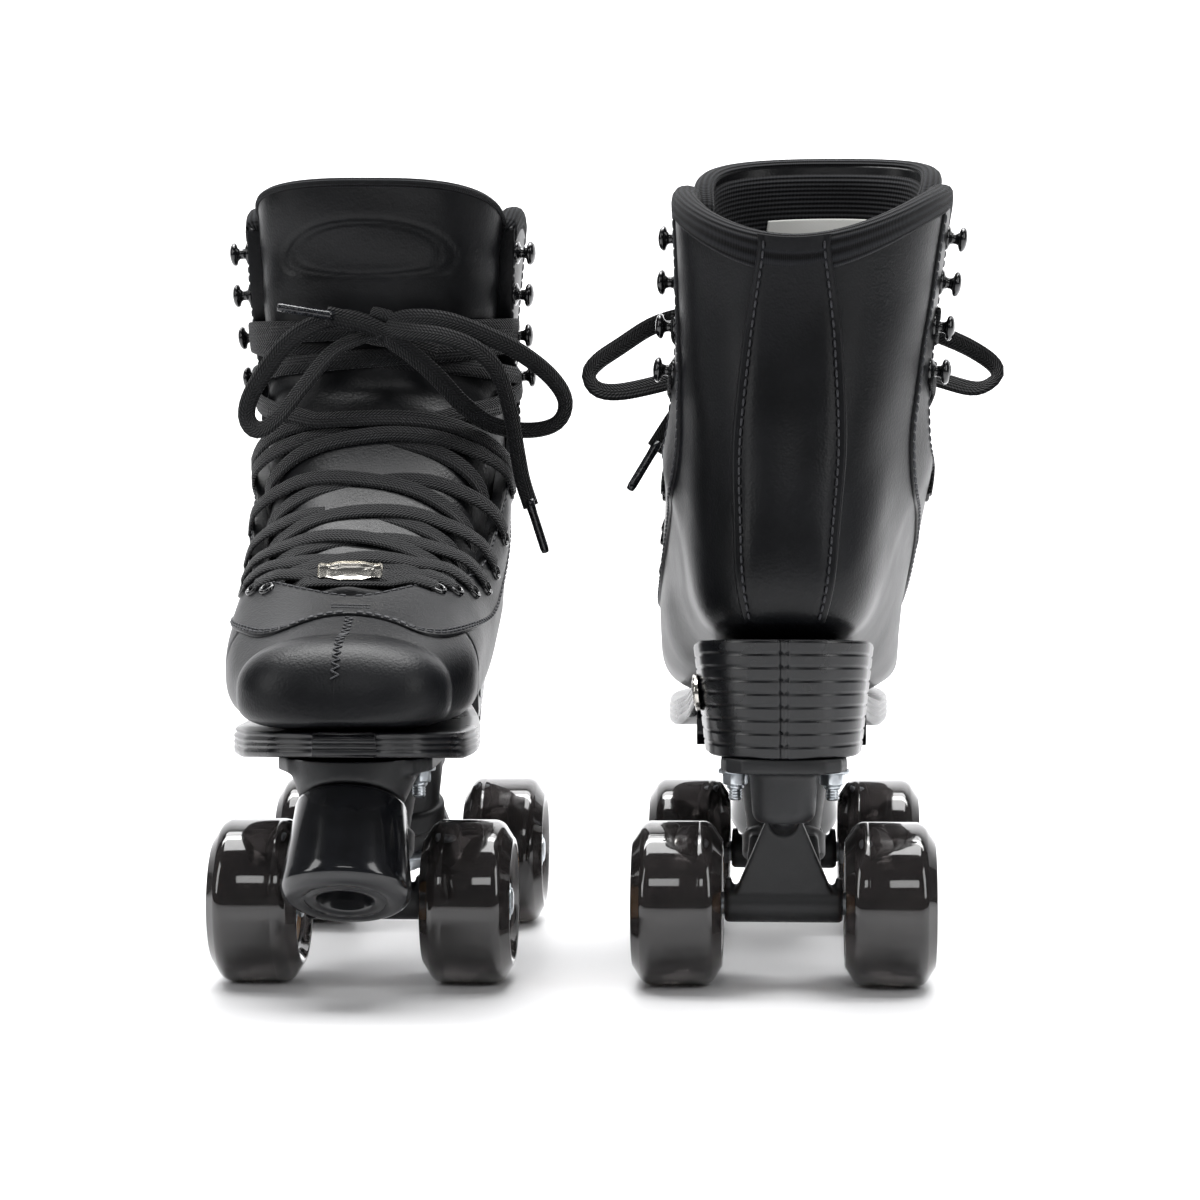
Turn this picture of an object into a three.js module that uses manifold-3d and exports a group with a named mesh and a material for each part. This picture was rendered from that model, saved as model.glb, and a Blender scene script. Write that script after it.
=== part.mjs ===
// A pair of lace-up quad roller skates: a high boot on a moulded sole with a stacked heel, a nylon
// plate with two sprung trucks, four wheels and a bolt-on toe stop.
// Units are millimetres, +Z is up and the origin is on the floor midway between the two skates.
// The left skate points its toe to +Y and the right skate stands beside it with its toe to -Y.
import * as THREE from "three";
import { mergeVertices } from "three/addons/utils/BufferGeometryUtils.js";
import Module from "manifold-3d";

const wasm = await Module();
wasm.setup();

// ---------------------------------------------------------------- driving dimensions
const GAP = 0.3; // left between neighbouring solids
const SKATE_X = 74.5; // centre line of each skate from the middle line between them
const OFF_CENTRE = 0.09; // that line in X, which puts the origin at the middle of the pair's box
const AXLE_Y = 78; // each axle from the middle of a skate
const AXLE_Z = 29;
const AXLE_R = 4;
const AXLE_HALF = 53;
const NUT_R = 7.5;
const NUT_LENGTH = 4.5;

const WHEEL_R = 29;
const WHEEL_WIDTH = 32;
const WHEEL_X = 37.5; // middle of a wheel from the middle of its axle
const TREAD_SIDES = 24;
const HUB_R = 17;
const HUB_WIDTH = 25;

const PIVOT = [94, 62]; // pivot pin from the middle of the skate, and its height
const RING = [54, 47]; // middle of the hanger's kingpin ring
const RING_R = 15;
const RING_THICK = 9;
const RING_HOLE_R = 5.8;
const HANGER_TUBE_R = 6.7;
const HANGER_TUBE_HALF = 21;
const PIN_R = 5;
const KINGPIN_R = 4;
const CUSHION_R = 12;
const CUSHION_HEIGHT = 10;

const SOLE_Z = 83; // underside of the heel and of the forefoot sole
const PLATE_THICK = 5.2;
const PLATE_TOP = SOLE_Z - GAP;
// Half of the plate's plan outline, [y, half width], heel to toe.
const PLATE_HALF = [
  [-112, 14], [-106, 20], [-98, 22], [-62, 22], [-46, 14], [26, 14], [46, 24], [62, 27], [104, 27],
  [116, 22], [122, 14],
];
const BOLT_R = 2.5;
const BOLT_PLACES = {
  front_outer: [-20, 84],
  front_inner: [20, 84],
  rear_outer: [-17, -88],
  rear_inner: [17, -88],
};

const STOP_TILT = THREE.MathUtils.degToRad(29); // the toe stop's axis leans forward from straight down
const STOP_TOP = [114, 67.5];
const STOP_LENGTH = 37;
const STOP_R = 22.5;

const UPPER_THICK = 4.5; // leather, padding and lining together
const INSOLE_THICK = 7.5;
const INSOLE_BACK = -104;
const INSOLE_FRONT = 126;
const TONGUE_INSET = 9.6; // outer face of the tongue, inside the line of the upper
const TONGUE_THICK = 5;
const LACE_WIDTH = 7;
const LACE_THICK = 1.5;
const LACE_LIFT = 3.2; // middle of the lace above the upper at the eyelets
const LACE_INSET = 1; // middle of a crossing lace, inside the line of the upper

// Boot sections, from the base of the toe cap, round the heel and up to the collar. Each is
// [back y, back z, front y, front z, half width, centre share, front power, back power, taper, x]:
// a superellipse between a point on the sole or back line and a point on the instep or front line.
// centre share says where along that line it is widest, and taper narrows the back of it.
const SECTIONS = [
  [116, 92.9, 116, 126, 37, 0.4, 2.3, 3.6, 0, 0.5],
  [96, 92.6, 94, 134, 43.5, 0.42, 2.3, 3.6, 0, 0],
  [70, 92.0, 66, 147, 46.2, 0.42, 2.3, 3.4, 0, -2.5],
  [40, 93.0, 42, 163, 46.2, 0.42, 2.3, 3.2, 0.02, -2.5],
  [8, 99.0, 22, 180, 46, 0.46, 2.4, 3.0, 0.08, -1.5],
  [-28, 110.0, 7, 197, 45.5, 0.52, 2.5, 3.4, 0.2, 0],
  [-66, 119.5, -1, 209, 45, 0.55, 2.5, 4.2, 0.28, 0],
  [-100, 124.2, -5, 218, 45, 0.55, 2.5, 4.2, 0.3, 0],
  [-116, 140.0, -6, 226, 44, 0.54, 2.5, 3.0, 0.28, 0],
  [-116.5, 168.0, -7, 236, 44.3, 0.52, 2.5, 2.2, 0.24, 0],
  [-111, 200.0, -7, 250, 45.8, 0.5, 2.6, 2.1, 0.16, 0],
  [-109, 232.0, -5, 268, 48, 0.5, 2.6, 2.1, 0.1, 0],
  [-112, 262.0, -2, 287, 50, 0.5, 2.6, 2.1, 0.06, 0],
  [-114, 278.0, 1, 303, 50, 0.5, 2.6, 2.1, 0.06, 0],
];
const COLLAR = 12; // the section number of the collar's edge
const TOE_CAP_LENGTH = 29;
const TOE_CAP_POWER = 2.3; // how square the toe cap is, from above and from the side
const TOE_SPRING = 2; // rise of the sole line to the tip
// The sections that the solids are built through, and the steps round each.
const BOOT_ROWS = [
  -1, -0.9, -0.65, -0.35, 0, 0.7, 1.25, 1.5, 2, 2.8, 3.7, 4.7, 5.7, 6.5, 7.2, 8, 9.2, 10.5, COLLAR,
];
const BOOT_ROUND = 16;
// Section number against the angle, in degrees, from the front line to the edge of the throat.
const THROAT_START = 1.25;
const THROAT = [[2, 42], [3, 54], [4, 61], [5, 64], [7, 66], [9, 66], [12, 64], [13, 62]];
// Section numbers of the rows of eyelets, and then of the two rows of hooks that the lace uses.
const LACE_ROWS = [1.85, 2.1, 2.5, 3, 3.6, 4.4, 5.5, 8.5, 9.2];
const ANKLE_ROW = 6; // the lace's rows past this one are hooks
const EYELET_ANGLE = 9; // degrees from the throat's edge to the eyelets

// Plan outline of the sole: [y, outer half width, inner half width], heel to toe.
const SOLE_PLAN = [
  [-119, 9, 9], [-113, 21, 21], [-100, 29, 29], [-80, 32, 31.5], [-50, 31.5, 29.5], [-20, 32.5, 28.5],
  [10, 37, 31], [40, 43.5, 37.5], [70, 45.5, 40.5], [95, 44, 41], [118, 36.5, 37.5], [134, 25, 27],
  [143, 10, 12.5],
];
// Side outline of the sole, [y, z], from the back of the heel under the arch to the toe and back.
const SOLE_SIDE = [
  [-121, SOLE_Z], [-50, SOLE_Z], [-46, 104], [-30, 101.5], [-12, 96], [8, 88.5], [28, SOLE_Z + 0.6],
  [38, SOLE_Z],
  [112, SOLE_Z], [146, SOLE_Z + 3.2], [146, 93.7], [116, 91.9], [70, 91], [40, 91.6], [8, 97.4], [-28, 108.6],
  [-66, 118], [-100, 122.6], [-121, 124.5],
];
const SKATE_HALF = 60; // wider than half a boot, for cutting right across one
const HEEL_TAPER = 0.87; // size of the sole's outline at the floor of the heel

// ---------------------------------------------------------------- solids and meshes
const Z = new THREE.Vector3(0, 0, 1);
const radians = THREE.MathUtils.degToRad;

function solidOf(geometry) {
  const bare = new THREE.BufferGeometry();
  bare.setAttribute("position", geometry.getAttribute("position"));
  if (geometry.index) bare.setIndex(geometry.index);
  const merged = mergeVertices(bare, 1e-4);
  const made = new wasm.Manifold(
    new wasm.Mesh({
      numProp: 3,
      vertProperties: new Float32Array(merged.attributes.position.array),
      triVerts: new Uint32Array(merged.index.array),
    }),
  );
  if (made.volume() <= 0) throw new Error("a solid is inside out");
  return made;
}

function geometryOf(solid) {
  const made = solid.getMesh();
  const geometry = new THREE.BufferGeometry();
  const positions = new Float32Array(made.numVert * 3);
  for (let i = 0; i < made.numVert; i++) {
    positions.set(made.vertProperties.subarray(i * made.numProp, i * made.numProp + 3), i * 3);
  }
  geometry.setAttribute("position", new THREE.BufferAttribute(positions, 3));
  geometry.setIndex(new THREE.BufferAttribute(made.triVerts, 1));
  geometry.computeVertexNormals();
  return geometry;
}

const join = (...solids) => solids.reduce((all, next) => all.add(next));

// The biggest of a solid's separate bodies, without the slivers that a join can leave.
const largest = (solid) => solid.decompose().reduce((a, b) => (a.volume() > b.volume() ? a : b));

// A cylinder or cone from one point to another.
function rod(from, to, radius, sides = 12, endRadius = radius) {
  const start = new THREE.Vector3(...from);
  const along = new THREE.Vector3(...to).sub(start);
  const geometry = new THREE.CylinderGeometry(endRadius, radius, along.length(), sides);
  geometry.rotateX(Math.PI / 2);
  geometry.translate(0, 0, along.length() / 2);
  geometry.applyQuaternion(new THREE.Quaternion().setFromUnitVectors(Z, along.clone().normalize()));
  geometry.translate(start.x, start.y, start.z);
  return solidOf(geometry);
}

// A ring or other turned shape about the X axis through x, y, z. The profile is [radius, x] pairs.
function turned(profile, x, y, z, sides, turn = 0) {
  const points = [...profile, profile[0]].map(([r, along]) => new THREE.Vector2(r, along));
  const geometry = new THREE.LatheGeometry(points, sides);
  geometry.rotateY(turn);
  geometry.rotateZ(-Math.PI / 2);
  geometry.translate(x, y, z);
  return solidOf(geometry);
}

// The area normal of a ring of points, and its middle.
function ringNormal(ring) {
  const points = ring.map((p) => new THREE.Vector3(...p));
  const normal = new THREE.Vector3();
  points.forEach((p, k) => normal.add(new THREE.Vector3().crossVectors(p, points[(k + 1) % points.length])));
  return normal.normalize();
}

function ringMiddle(ring) {
  const sum = ring.reduce((total, p) => total.add(new THREE.Vector3(...p)), new THREE.Vector3());
  return sum.divideScalar(ring.length);
}

// A closed body whose rings all have the same number of points, with flat ends.
function loft(given) {
  const forward = ringMiddle(given[1]).sub(ringMiddle(given[0])).dot(ringNormal(given[0])) > 0;
  const rings = forward ? given : given.map((ring) => ring.slice().reverse());
  const count = rings[0].length;
  const faces = [];
  for (let i = 0; i + 1 < rings.length; i++) {
    for (let j = 0; j < count; j++) {
      const a = i * count + j;
      const b = i * count + ((j + 1) % count);
      faces.push(a, b, b + count, a, b + count, a + count);
    }
  }
  for (const [ring, flip] of [[0, true], [rings.length - 1, false]]) {
    const turn = new THREE.Quaternion().setFromUnitVectors(ringNormal(rings[ring]), Z);
    const flat = rings[ring].map((p) => new THREE.Vector3(...p).applyQuaternion(turn));
    const outline = flat.map((p) => new THREE.Vector2(p.x, p.y));
    for (const [a, b, c] of THREE.ShapeUtils.triangulateShape(outline, [])) {
      const at = ring * count;
      faces.push(...(flip ? [at + a, at + c, at + b] : [at + a, at + b, at + c]));
    }
  }
  const geometry = new THREE.BufferGeometry();
  geometry.setAttribute("position", new THREE.Float32BufferAttribute(rings.flat(2), 3));
  geometry.setIndex(faces);
  return solidOf(geometry);
}

// An outline of [y, z] points extruded across the skate, from -half to half.
function acrossSkate(outline, half) {
  return loft([-half, half].map((x) => outline.map(([y, z]) => [x, y, z])));
}

// A smooth row of a table at a fractional row number.
function between(rows, at) {
  const i = Math.min(Math.max(Math.floor(at), 0), rows.length - 2);
  const t = at - i;
  const [a, b, c, d] = [-1, 0, 1, 2].map((k) => rows[Math.min(Math.max(i + k, 0), rows.length - 1)]);
  return b.map((_, k) => {
    const [p0, p1, p2, p3] = [a[k], b[k], c[k], d[k]];
    return p1 + 0.5 * t * (p2 - p0 + t * (2 * p0 - 5 * p1 + 4 * p2 - p3 + t * (3 * (p1 - p2) + p3 - p0)));
  });
}

// ---------------------------------------------------------------- the boot's surface
// How each boot stands: sway leans it to its inner side up the leg and towards the front, over a
// height of over. toe shifts its toe, spread widens its leg each side, and tongue is the section
// number of the tongue's top.
const FITS = {
  left: { sway: 16, over: 160, toe: 1.5, spread: -2, tongue: 12.6 },
  right: { sway: -10, over: 110, toe: -2.5, spread: 2, tongue: 12.35 },
};
const LEAN_FROM = 130;

function leaning(x, y, z, fit) {
  const up = THREE.MathUtils.clamp((z - LEAN_FROM) / fit.over, 0, 1);
  const forward = THREE.MathUtils.clamp((y + 115) / 110, 0, 1);
  const toe = THREE.MathUtils.clamp(y / 80, 0, 1);
  return x + fit.sway * up * (0.2 + 0.8 * forward) + fit.toe * toe * (1 - up);
}

// A point of the boot at a section number and an angle from its front line, moved in by inset.
// Below section 0 the toe cap closes onto the sole: -1 is its tip.
function bootPoint(section, angle, inset, fit) {
  const row = between(SECTIONS, Math.max(section, 0));
  const [backY, backZ, frontY, frontZ, width, share, frontPower, backPower, taper, x] = row;
  const half = width + fit.spread * THREE.MathUtils.clamp((section - 6) / 3, 0, 1);
  const cap = Math.max(-section, 0);
  const close = (1 - cap ** TOE_CAP_POWER) ** (1 / TOE_CAP_POWER);
  const length = Math.hypot(frontY - backY, frontZ - backZ);
  const up = [(frontY - backY) / length, (frontZ - backZ) / length];
  const [sin, cos] = [Math.sin(angle), Math.cos(angle)];
  const reach = (cos > 0 ? 1 - share : share) * length - inset;
  const power = cos > 0 ? frontPower : backPower;
  const [wide, deep] = [Math.abs(sin) / (half - inset), Math.abs(cos) / reach];
  const radius = (wide ** power + deep ** power) ** (-1 / power);
  const along = inset + (share * length + radius * cos - inset) * close;
  const y = backY + up[0] * along + cap * (TOE_CAP_LENGTH - inset);
  const z = backZ + up[1] * along + cap * TOE_SPRING;
  return [leaning(x + radius * close * sin * (1 + taper * cos), y, z, fit), y, z];
}

function throatEdge(section) {
  if (section <= THROAT_START) return 0;
  const first = THROAT[0];
  if (section < first[0]) {
    return radians(first[1] * Math.sqrt((section - THROAT_START) / (first[0] - THROAT_START)));
  }
  const next = THROAT.findIndex(([at]) => at >= section);
  const [low, high] = [THROAT[Math.max(next - 1, 0)], THROAT[next]];
  const t = high === low ? 0 : (section - low[0]) / (high[0] - low[0]);
  return radians(low[1] + (high[1] - low[1]) * t);
}

// A skin between two insets over a grid of section numbers and angles. Rows are lists of
// [section, first angle, last angle], and whole rows whose angles meet are welded shut.
function skin(rows, steps, outerInset, innerInset, fit) {
  const grids = [outerInset, innerInset].map((inset) =>
    rows.map((row) =>
      Array.from({ length: steps + 1 }, (_, j) => {
        const [section, angle] = row(j / steps);
        return bootPoint(section, angle, inset, fit);
      }),
    ),
  );
  const faces = [];
  const quad = (a, b, c, d) => faces.push(a, c, b, a, d, c);
  const [outer, inner] = grids;
  for (let i = 0; i + 1 < rows.length; i++) {
    for (let j = 0; j < steps; j++) {
      quad(outer[i][j], outer[i][j + 1], outer[i + 1][j + 1], outer[i + 1][j]);
      quad(inner[i][j], inner[i + 1][j], inner[i + 1][j + 1], inner[i][j + 1]);
    }
    const closed = [i, i + 1].every((k) => sameAngle(rows[k]));
    if (!closed) {
      quad(outer[i][0], outer[i + 1][0], inner[i + 1][0], inner[i][0]);
      quad(outer[i][steps], inner[i][steps], inner[i + 1][steps], outer[i + 1][steps]);
    }
  }
  const last = rows.length - 1;
  for (let j = 0; j < steps; j++) {
    quad(outer[last][j], outer[last][j + 1], inner[last][j + 1], inner[last][j]);
    if (!sameAngle(rows[0])) quad(outer[0][j], inner[0][j], inner[0][j + 1], outer[0][j + 1]);
  }
  const geometry = new THREE.BufferGeometry();
  geometry.setAttribute("position", new THREE.Float32BufferAttribute(faces.flat(), 3));
  return mergeVertices(geometry, 1e-3);
}

const sameAngle = (row) => Math.abs(row(1)[1] - row(0)[1] - 2 * Math.PI) < 1e-6;

// ---------------------------------------------------------------- the boot's pieces
function bootUpper(fit) {
  const rows = BOOT_ROWS.map((section) => {
    const edge = throatEdge(section);
    return (t) => [section, edge + (2 * Math.PI - 2 * edge) * t];
  });
  return solidOf(skin(rows, BOOT_ROUND, 0, UPPER_THICK, fit));
}

function tongue(fit) {
  const start = 1.7;
  const rows = [0, 0.08, 0.18, 0.3, 0.42, 0.58, 0.75, 0.9, 1].map((share) => (t) => {
    const side = 2 * t - 1;
    const top = fit.tongue - 0.9 * side ** 4;
    const section = start + (top - start) * share;
    return [section, side * (throatEdge(section) + radians(12)) + 2 * Math.PI];
  });
  return solidOf(skin(rows, 8, TONGUE_INSET, TONGUE_INSET + TONGUE_THICK, fit));
}

function soleOutline(scale) {
  const outer = SOLE_PLAN.map(([y, out]) => [-out, y]);
  const inner = SOLE_PLAN.map(([y, , inn]) => [inn, y]).reverse();
  const shift = (y) => (y < 0 ? y * (scale + (1 - scale) * 0.55) : y);
  const side = (x, y) => x * (y < 20 ? scale : 1);
  return [...inner, ...outer].map(([x, y]) => [side(x, y), shift(y)]);
}

function soleUnit() {
  const top = soleOutline(1).map(([x, y]) => [x, y, 130]);
  const bottom = soleOutline(HEEL_TAPER).map(([x, y]) => [x, y, SOLE_Z - 5]);
  return acrossSkate(SOLE_SIDE, SKATE_HALF).intersect(loft([bottom, top]));
}

// The insole fills the bottom of the space inside the boot.
function insole(fit) {
  const around = Array.from({ length: BOOT_ROUND }, (_, j) => (2 * Math.PI * j) / BOOT_ROUND);
  const space = BOOT_ROWS.slice(1, -2).map((section) =>
    around.map((angle) => bootPoint(section, angle, UPPER_THICK + 10 * GAP, fit)),
  );
  const line = SOLE_SIDE.slice(-8).reverse();
  const top = line.map(([y, z]) => [y, z + UPPER_THICK + INSOLE_THICK]).reverse();
  const [low, high, beyond] = [80, 170, 140];
  const cut = acrossSkate([[-beyond, low], [beyond, low], ...top], SKATE_HALF);
  const ends = [[INSOLE_FRONT, low], [INSOLE_FRONT, high], [INSOLE_BACK, high], [INSOLE_BACK, low]];
  const keep = acrossSkate(ends, SKATE_HALF);
  return largest(loft(space).intersect(cut).intersect(keep));
}

// ---------------------------------------------------------------- the lace
// A flat ribbon through places, each { at, across, out }: a point, the direction of its width
// and the direction that its face looks.
function ribbon(places, width = LACE_WIDTH, thick = LACE_THICK) {
  const rings = places.map(({ at, across, out }) =>
    [[-1, -1], [1, -1], [1, 1], [-1, 1]].map(([a, b]) =>
      at.map((p, k) => p + (across[k] * a * width + out[k] * b * thick) / 2),
    ),
  );
  return loft(rings);
}

// Directions of a ribbon that follows points and keeps its face looking about one way.
function laid(points, outs) {
  return points.map((p, i) => {
    const before = new THREE.Vector3(...points[Math.max(i - 1, 0)]);
    const after = new THREE.Vector3(...points[Math.min(i + 1, points.length - 1)]);
    const along = after.sub(before).normalize();
    const out = new THREE.Vector3(...outs[i]);
    const across = new THREE.Vector3().crossVectors(along, out).normalize();
    out.crossVectors(across, along);
    return { at: p, across: across.toArray(), out: out.toArray() };
  });
}

function surfaceNormal(section, angle, fit) {
  const from = new THREE.Vector3(...bootPoint(section, angle, 3, fit));
  return new THREE.Vector3(...bootPoint(section, angle, 0, fit)).sub(from).normalize().toArray();
}

// One run of lace across the throat, from an eyelet in one row to the far eyelet in another.
function crossing(fromRow, toRow, side, fit) {
  const reach = (row) => throatEdge(row) + radians(EYELET_ANGLE);
  const overEdge = (row) => (throatEdge(row) - radians(5.5)) / reach(row);
  const points = [];
  const outs = [];
  const middle = toRow > ANKLE_ROW ? [-0.6, -0.3, 0, 0.3, 0.6] : [0];
  for (const share of [-1, -overEdge(fromRow), ...middle, overEdge(toRow), 1]) {
    const section = fromRow + ((toRow - fromRow) * (share + 1)) / 2;
    const angle = side * reach(section) * share;
    const inset = Math.abs(share) > 0.45 ? -LACE_LIFT : LACE_INSET - side * LACE_THICK * 0.6;
    points.push(bootPoint(section, angle, inset, fit));
    outs.push(surfaceNormal(section, angle, fit));
  }
  return ribbon(laid(points, outs));
}

// The bow's loops and ends, as [x, forward of the knot, above the knot] from the knot.
const BOWS = {
  left: {
    shift: -2,
    loops: [
      [
        [0, 2, 0], [-30, 8, 6], [-58, 2, 0], [-78, -13, -14],
        [-81, -16, -19], [-70, -12, -24], [-40, 4, -17], [0, 5, -2],
      ],
      [
        [0, 2, 0], [28, 8, 2], [50, -1, -4], [68, -17, -15],
        [69, -20, -20], [62, -18, -24], [34, 2, -15], [0, 5, -2],
      ],
    ],
    ends: [
      [[0, 3, 0], [-26, 12, -12], [-48, 0, -32], [-57, -6, -46], [-64, -8, -62]],
      [[0, 3, 0], [14, 12, -24], [24, 17, -50], [29, 26, -76]],
    ],
  },
  right: {
    shift: 5,
    loops: [
      [
        [0, 2, 0], [26, 9, 2], [54, 2, -10], [70, -11, -28],
        [67, -12, -36], [43, -2, -37], [22, 9, -18], [0, 5, -2],
      ],
      [
        [0, 2, 0], [-24, 10, 0], [-41, 9, -17], [-49, 8, -34],
        [-36, 14, -34], [-26, 15, -22], [0, 5, -2],
      ],
    ],
    ends: [
      [[0, 3, 0], [26, 12, -4], [46, 6, -18], [52, -4, -46], [57, -9, -68], [62, -10, -86]],
      [[12, 1, -7], [-5, 9, 1], [-17, 13, 4], [-35, 14, 10]],
    ],
  },
};

// A strand of the bow, smoothed through its points, from the knot at a boot's front.
function strand(points, knot) {
  const curve = new THREE.CatmullRomCurve3(points.map(([x, y, z]) => new THREE.Vector3(x, y, z)));
  const steps = Math.round(curve.getLength() / 16);
  const line = curve.getSpacedPoints(steps).map((p) => p.add(knot).toArray());
  return ribbon(laid(line, line.map(() => [0, 0.95, 0.3])), LACE_WIDTH * 0.8, 2.4);
}

function lace(bow, fit) {
  const runs = [];
  for (let i = 0; i + 1 < LACE_ROWS.length; i++) {
    for (const side of [-1, 1]) runs.push(crossing(LACE_ROWS[i], LACE_ROWS[i + 1], side, fit));
  }
  runs.push(crossing(LACE_ROWS[0], LACE_ROWS[0], 1, fit));
  const top = LACE_ROWS.at(-1);
  runs.push(crossing(top, top, 1, fit));
  const knot = new THREE.Vector3(...bootPoint(top, 0, -3, fit));
  knot.x += bow.shift;
  const size = new THREE.BoxGeometry(15, 10, 11);
  size.translate(knot.x, knot.y, knot.z);
  runs.push(solidOf(size));
  for (const points of [...bow.loops, ...bow.ends]) runs.push(strand(points, knot));
  return largest(join(...runs));
}

// ---------------------------------------------------------------- the plate and its trucks
// end is 1 for the front truck and -1 for the rear one, which is its mirror image.
const pivotAt = (end) => [0, end * PIVOT[0], PIVOT[1]];
const ringAt = (end) => [0, end * RING[0], RING[1]];

// The line that a truck turns about, from its ring to its pivot, and its kingpin's line.
function steerLine(end) {
  return new THREE.Vector3(...pivotAt(end)).sub(new THREE.Vector3(...ringAt(end))).normalize();
}

function kingpinLine(end) {
  return new THREE.Vector3(end, 0, 0).cross(steerLine(end)).normalize();
}

// A point that far along a line from a starting point.
function along(from, line, distance) {
  return line.clone().multiplyScalar(distance).add(new THREE.Vector3(...from)).toArray();
}

function plateOutline() {
  const half = PLATE_HALF;
  return [...half.map(([y, x]) => [x, y]), ...half.map(([y, x]) => [-x, y]).reverse()];
}

function plate() {
  const levels = [PLATE_TOP - PLATE_THICK, PLATE_TOP];
  const flange = loft(levels.map((z) => plateOutline().map(([x, y]) => [x, y, z])));
  const beam = acrossSkate([[-60, 70], [60, 70], [66, PLATE_TOP - 1], [-66, PLATE_TOP - 1]], 9);
  const parts = [flange, beam];
  const holes = [];
  for (const end of [1, -1]) {
    const steer = steerLine(end);
    const king = kingpinLine(end);
    const seat = RING_THICK / 2 + CUSHION_HEIGHT + 2 * GAP;
    parts.push(rod(along(ringAt(end), king, seat), along(ringAt(end), king, seat + 20), 13));
    const [, y, z] = pivotAt(end);
    parts.push(rod([0, y + end * 2, z - 2], [0, y + end * 2, PLATE_TOP - 1], 11, 12, 13));
    holes.push(rod(along(pivotAt(end), steer, -26), along(pivotAt(end), steer, 5), PIN_R + 1));
    const bore = [along(ringAt(end), king, seat - 2), along(ringAt(end), king, seat + 15)];
    holes.push(rod(...bore, KINGPIN_R + 2 * GAP, 8));
    holes.push(rod([0, y, z - 20], [0, y, PIVOT[1] - 5], 16, 12));
  }
  const [noseY, noseZ] = STOP_TOP;
  const lean = [Math.sin(STOP_TILT), Math.cos(STOP_TILT)];
  const up = 17;
  const noseEnds = [GAP, up].map((d) => [0, noseY - lean[0] * d, noseZ + lean[1] * d]);
  const nose = rod(...noseEnds, 18, 16, 24);
  const above = new THREE.BoxGeometry(80, 400, 40);
  above.translate(0, 0, PLATE_TOP + 20);
  parts.push(nose);
  holes.push(solidOf(above));
  const threadEnds = [-1, 12].map((d) => [0, noseY - lean[0] * d, noseZ + lean[1] * d]);
  holes.push(rod(...threadEnds, 4 + GAP, 8));
  holes.push(rod(stopPoint(-GAP), stopPoint(STOP_LENGTH), STOP_R + 2, 16));
  for (const [x, y] of Object.values(BOLT_PLACES)) holes.push(rod([x, y, 60], [x, y, 90], BOLT_R + GAP, 8));
  return join(...parts).subtract(join(...holes));
}

// A screw up through the plate into the sole, with its nut and washer below the plate.
function plateBolt([x, y]) {
  const under = PLATE_TOP - PLATE_THICK - GAP;
  const shank = rod([x, y, under - 11], [x, y, PLATE_TOP], BOLT_R, 6);
  const washer = rod([x, y, under - 1.5], [x, y, under], 6, 8);
  const nut = rod([x, y, under - 7], [x, y, under - 1], 4.6, 6);
  return join(shank, washer, nut);
}

function hanger(end) {
  const axle = [0, end * AXLE_Y, AXLE_Z];
  const ring = ringAt(end);
  const [steer, king] = [steerLine(end), kingpinLine(end)];
  const tube = rod([-HANGER_TUBE_HALF, axle[1], AXLE_Z], [HANGER_TUBE_HALF, axle[1], AXLE_Z], HANGER_TUBE_R);
  const collar = rod(along(ring, king, -RING_THICK / 2), along(ring, king, RING_THICK / 2), RING_R, 16);
  const pinBase = along(pivotAt(end), steer, -12);
  const pin = rod(pinBase, along(pivotAt(end), steer, 3), PIN_R, 12, PIN_R - 1);
  // The web is a tapered block from the whole tube up to the foot of the pivot pin.
  const block = (low, lowHalf, lowDeep, high, highHalf, highDeep) => {
    const corners = [[-1, -1], [1, -1], [1, 1], [-1, 1]];
    const ringOf = ([, y, z], half, deep) => corners.map(([a, b]) => [a * half, y + b * deep, z]);
    return loft([ringOf(low, lowHalf, lowDeep), ringOf(high, highHalf, highDeep)]);
  };
  const web = block([0, axle[1], AXLE_Z + 2], 17, 5.5, [0, pinBase[1], pinBase[2] + 2], 6, 4);
  const arm = block([0, axle[1] - end * 2, AXLE_Z - 3], 15, 5, [0, ring[1] + end * 9, ring[2] + 5], 12, 6);
  const bores = [
    rod([-60, axle[1], AXLE_Z], [60, axle[1], AXLE_Z], AXLE_R + 2 * GAP, 8),
    rod(along(ring, king, -30), along(ring, king, 30), RING_HOLE_R, 8),
    rod(along(ring, king, RING_THICK / 2), along(ring, king, RING_THICK / 2 + 30), CUSHION_R + 1, 12),
    rod(along(ring, king, -RING_THICK / 2 - 30), along(ring, king, -RING_THICK / 2), CUSHION_R + 1, 12),
  ];
  return join(tube, collar, pin, web, arm).subtract(join(...bores));
}

function kingpin(end) {
  const at = (distance) => along(ringAt(end), kingpinLine(end), distance);
  const under = -RING_THICK / 2 - CUSHION_HEIGHT - 2 * GAP;
  const top = RING_THICK / 2 + CUSHION_HEIGHT + 2 * GAP + 14;
  const shank = rod(at(under - 10), at(top), KINGPIN_R, 8);
  const washer = rod(at(under - 1.5), at(under), 11, 12);
  return join(shank, washer, rod(at(under - 8), at(under - 1), NUT_R, 6));
}

function cushion(end, side) {
  const at = (distance) => along(ringAt(end), kingpinLine(end), side * distance);
  const low = RING_THICK / 2 + GAP;
  const body = rod(at(low), at(low + CUSHION_HEIGHT), CUSHION_R, 12, side > 0 ? CUSHION_R : CUSHION_R - 2);
  return body.subtract(rod(at(low - 5), at(low + CUSHION_HEIGHT + 5), KINGPIN_R + 2 * GAP, 8));
}

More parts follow.
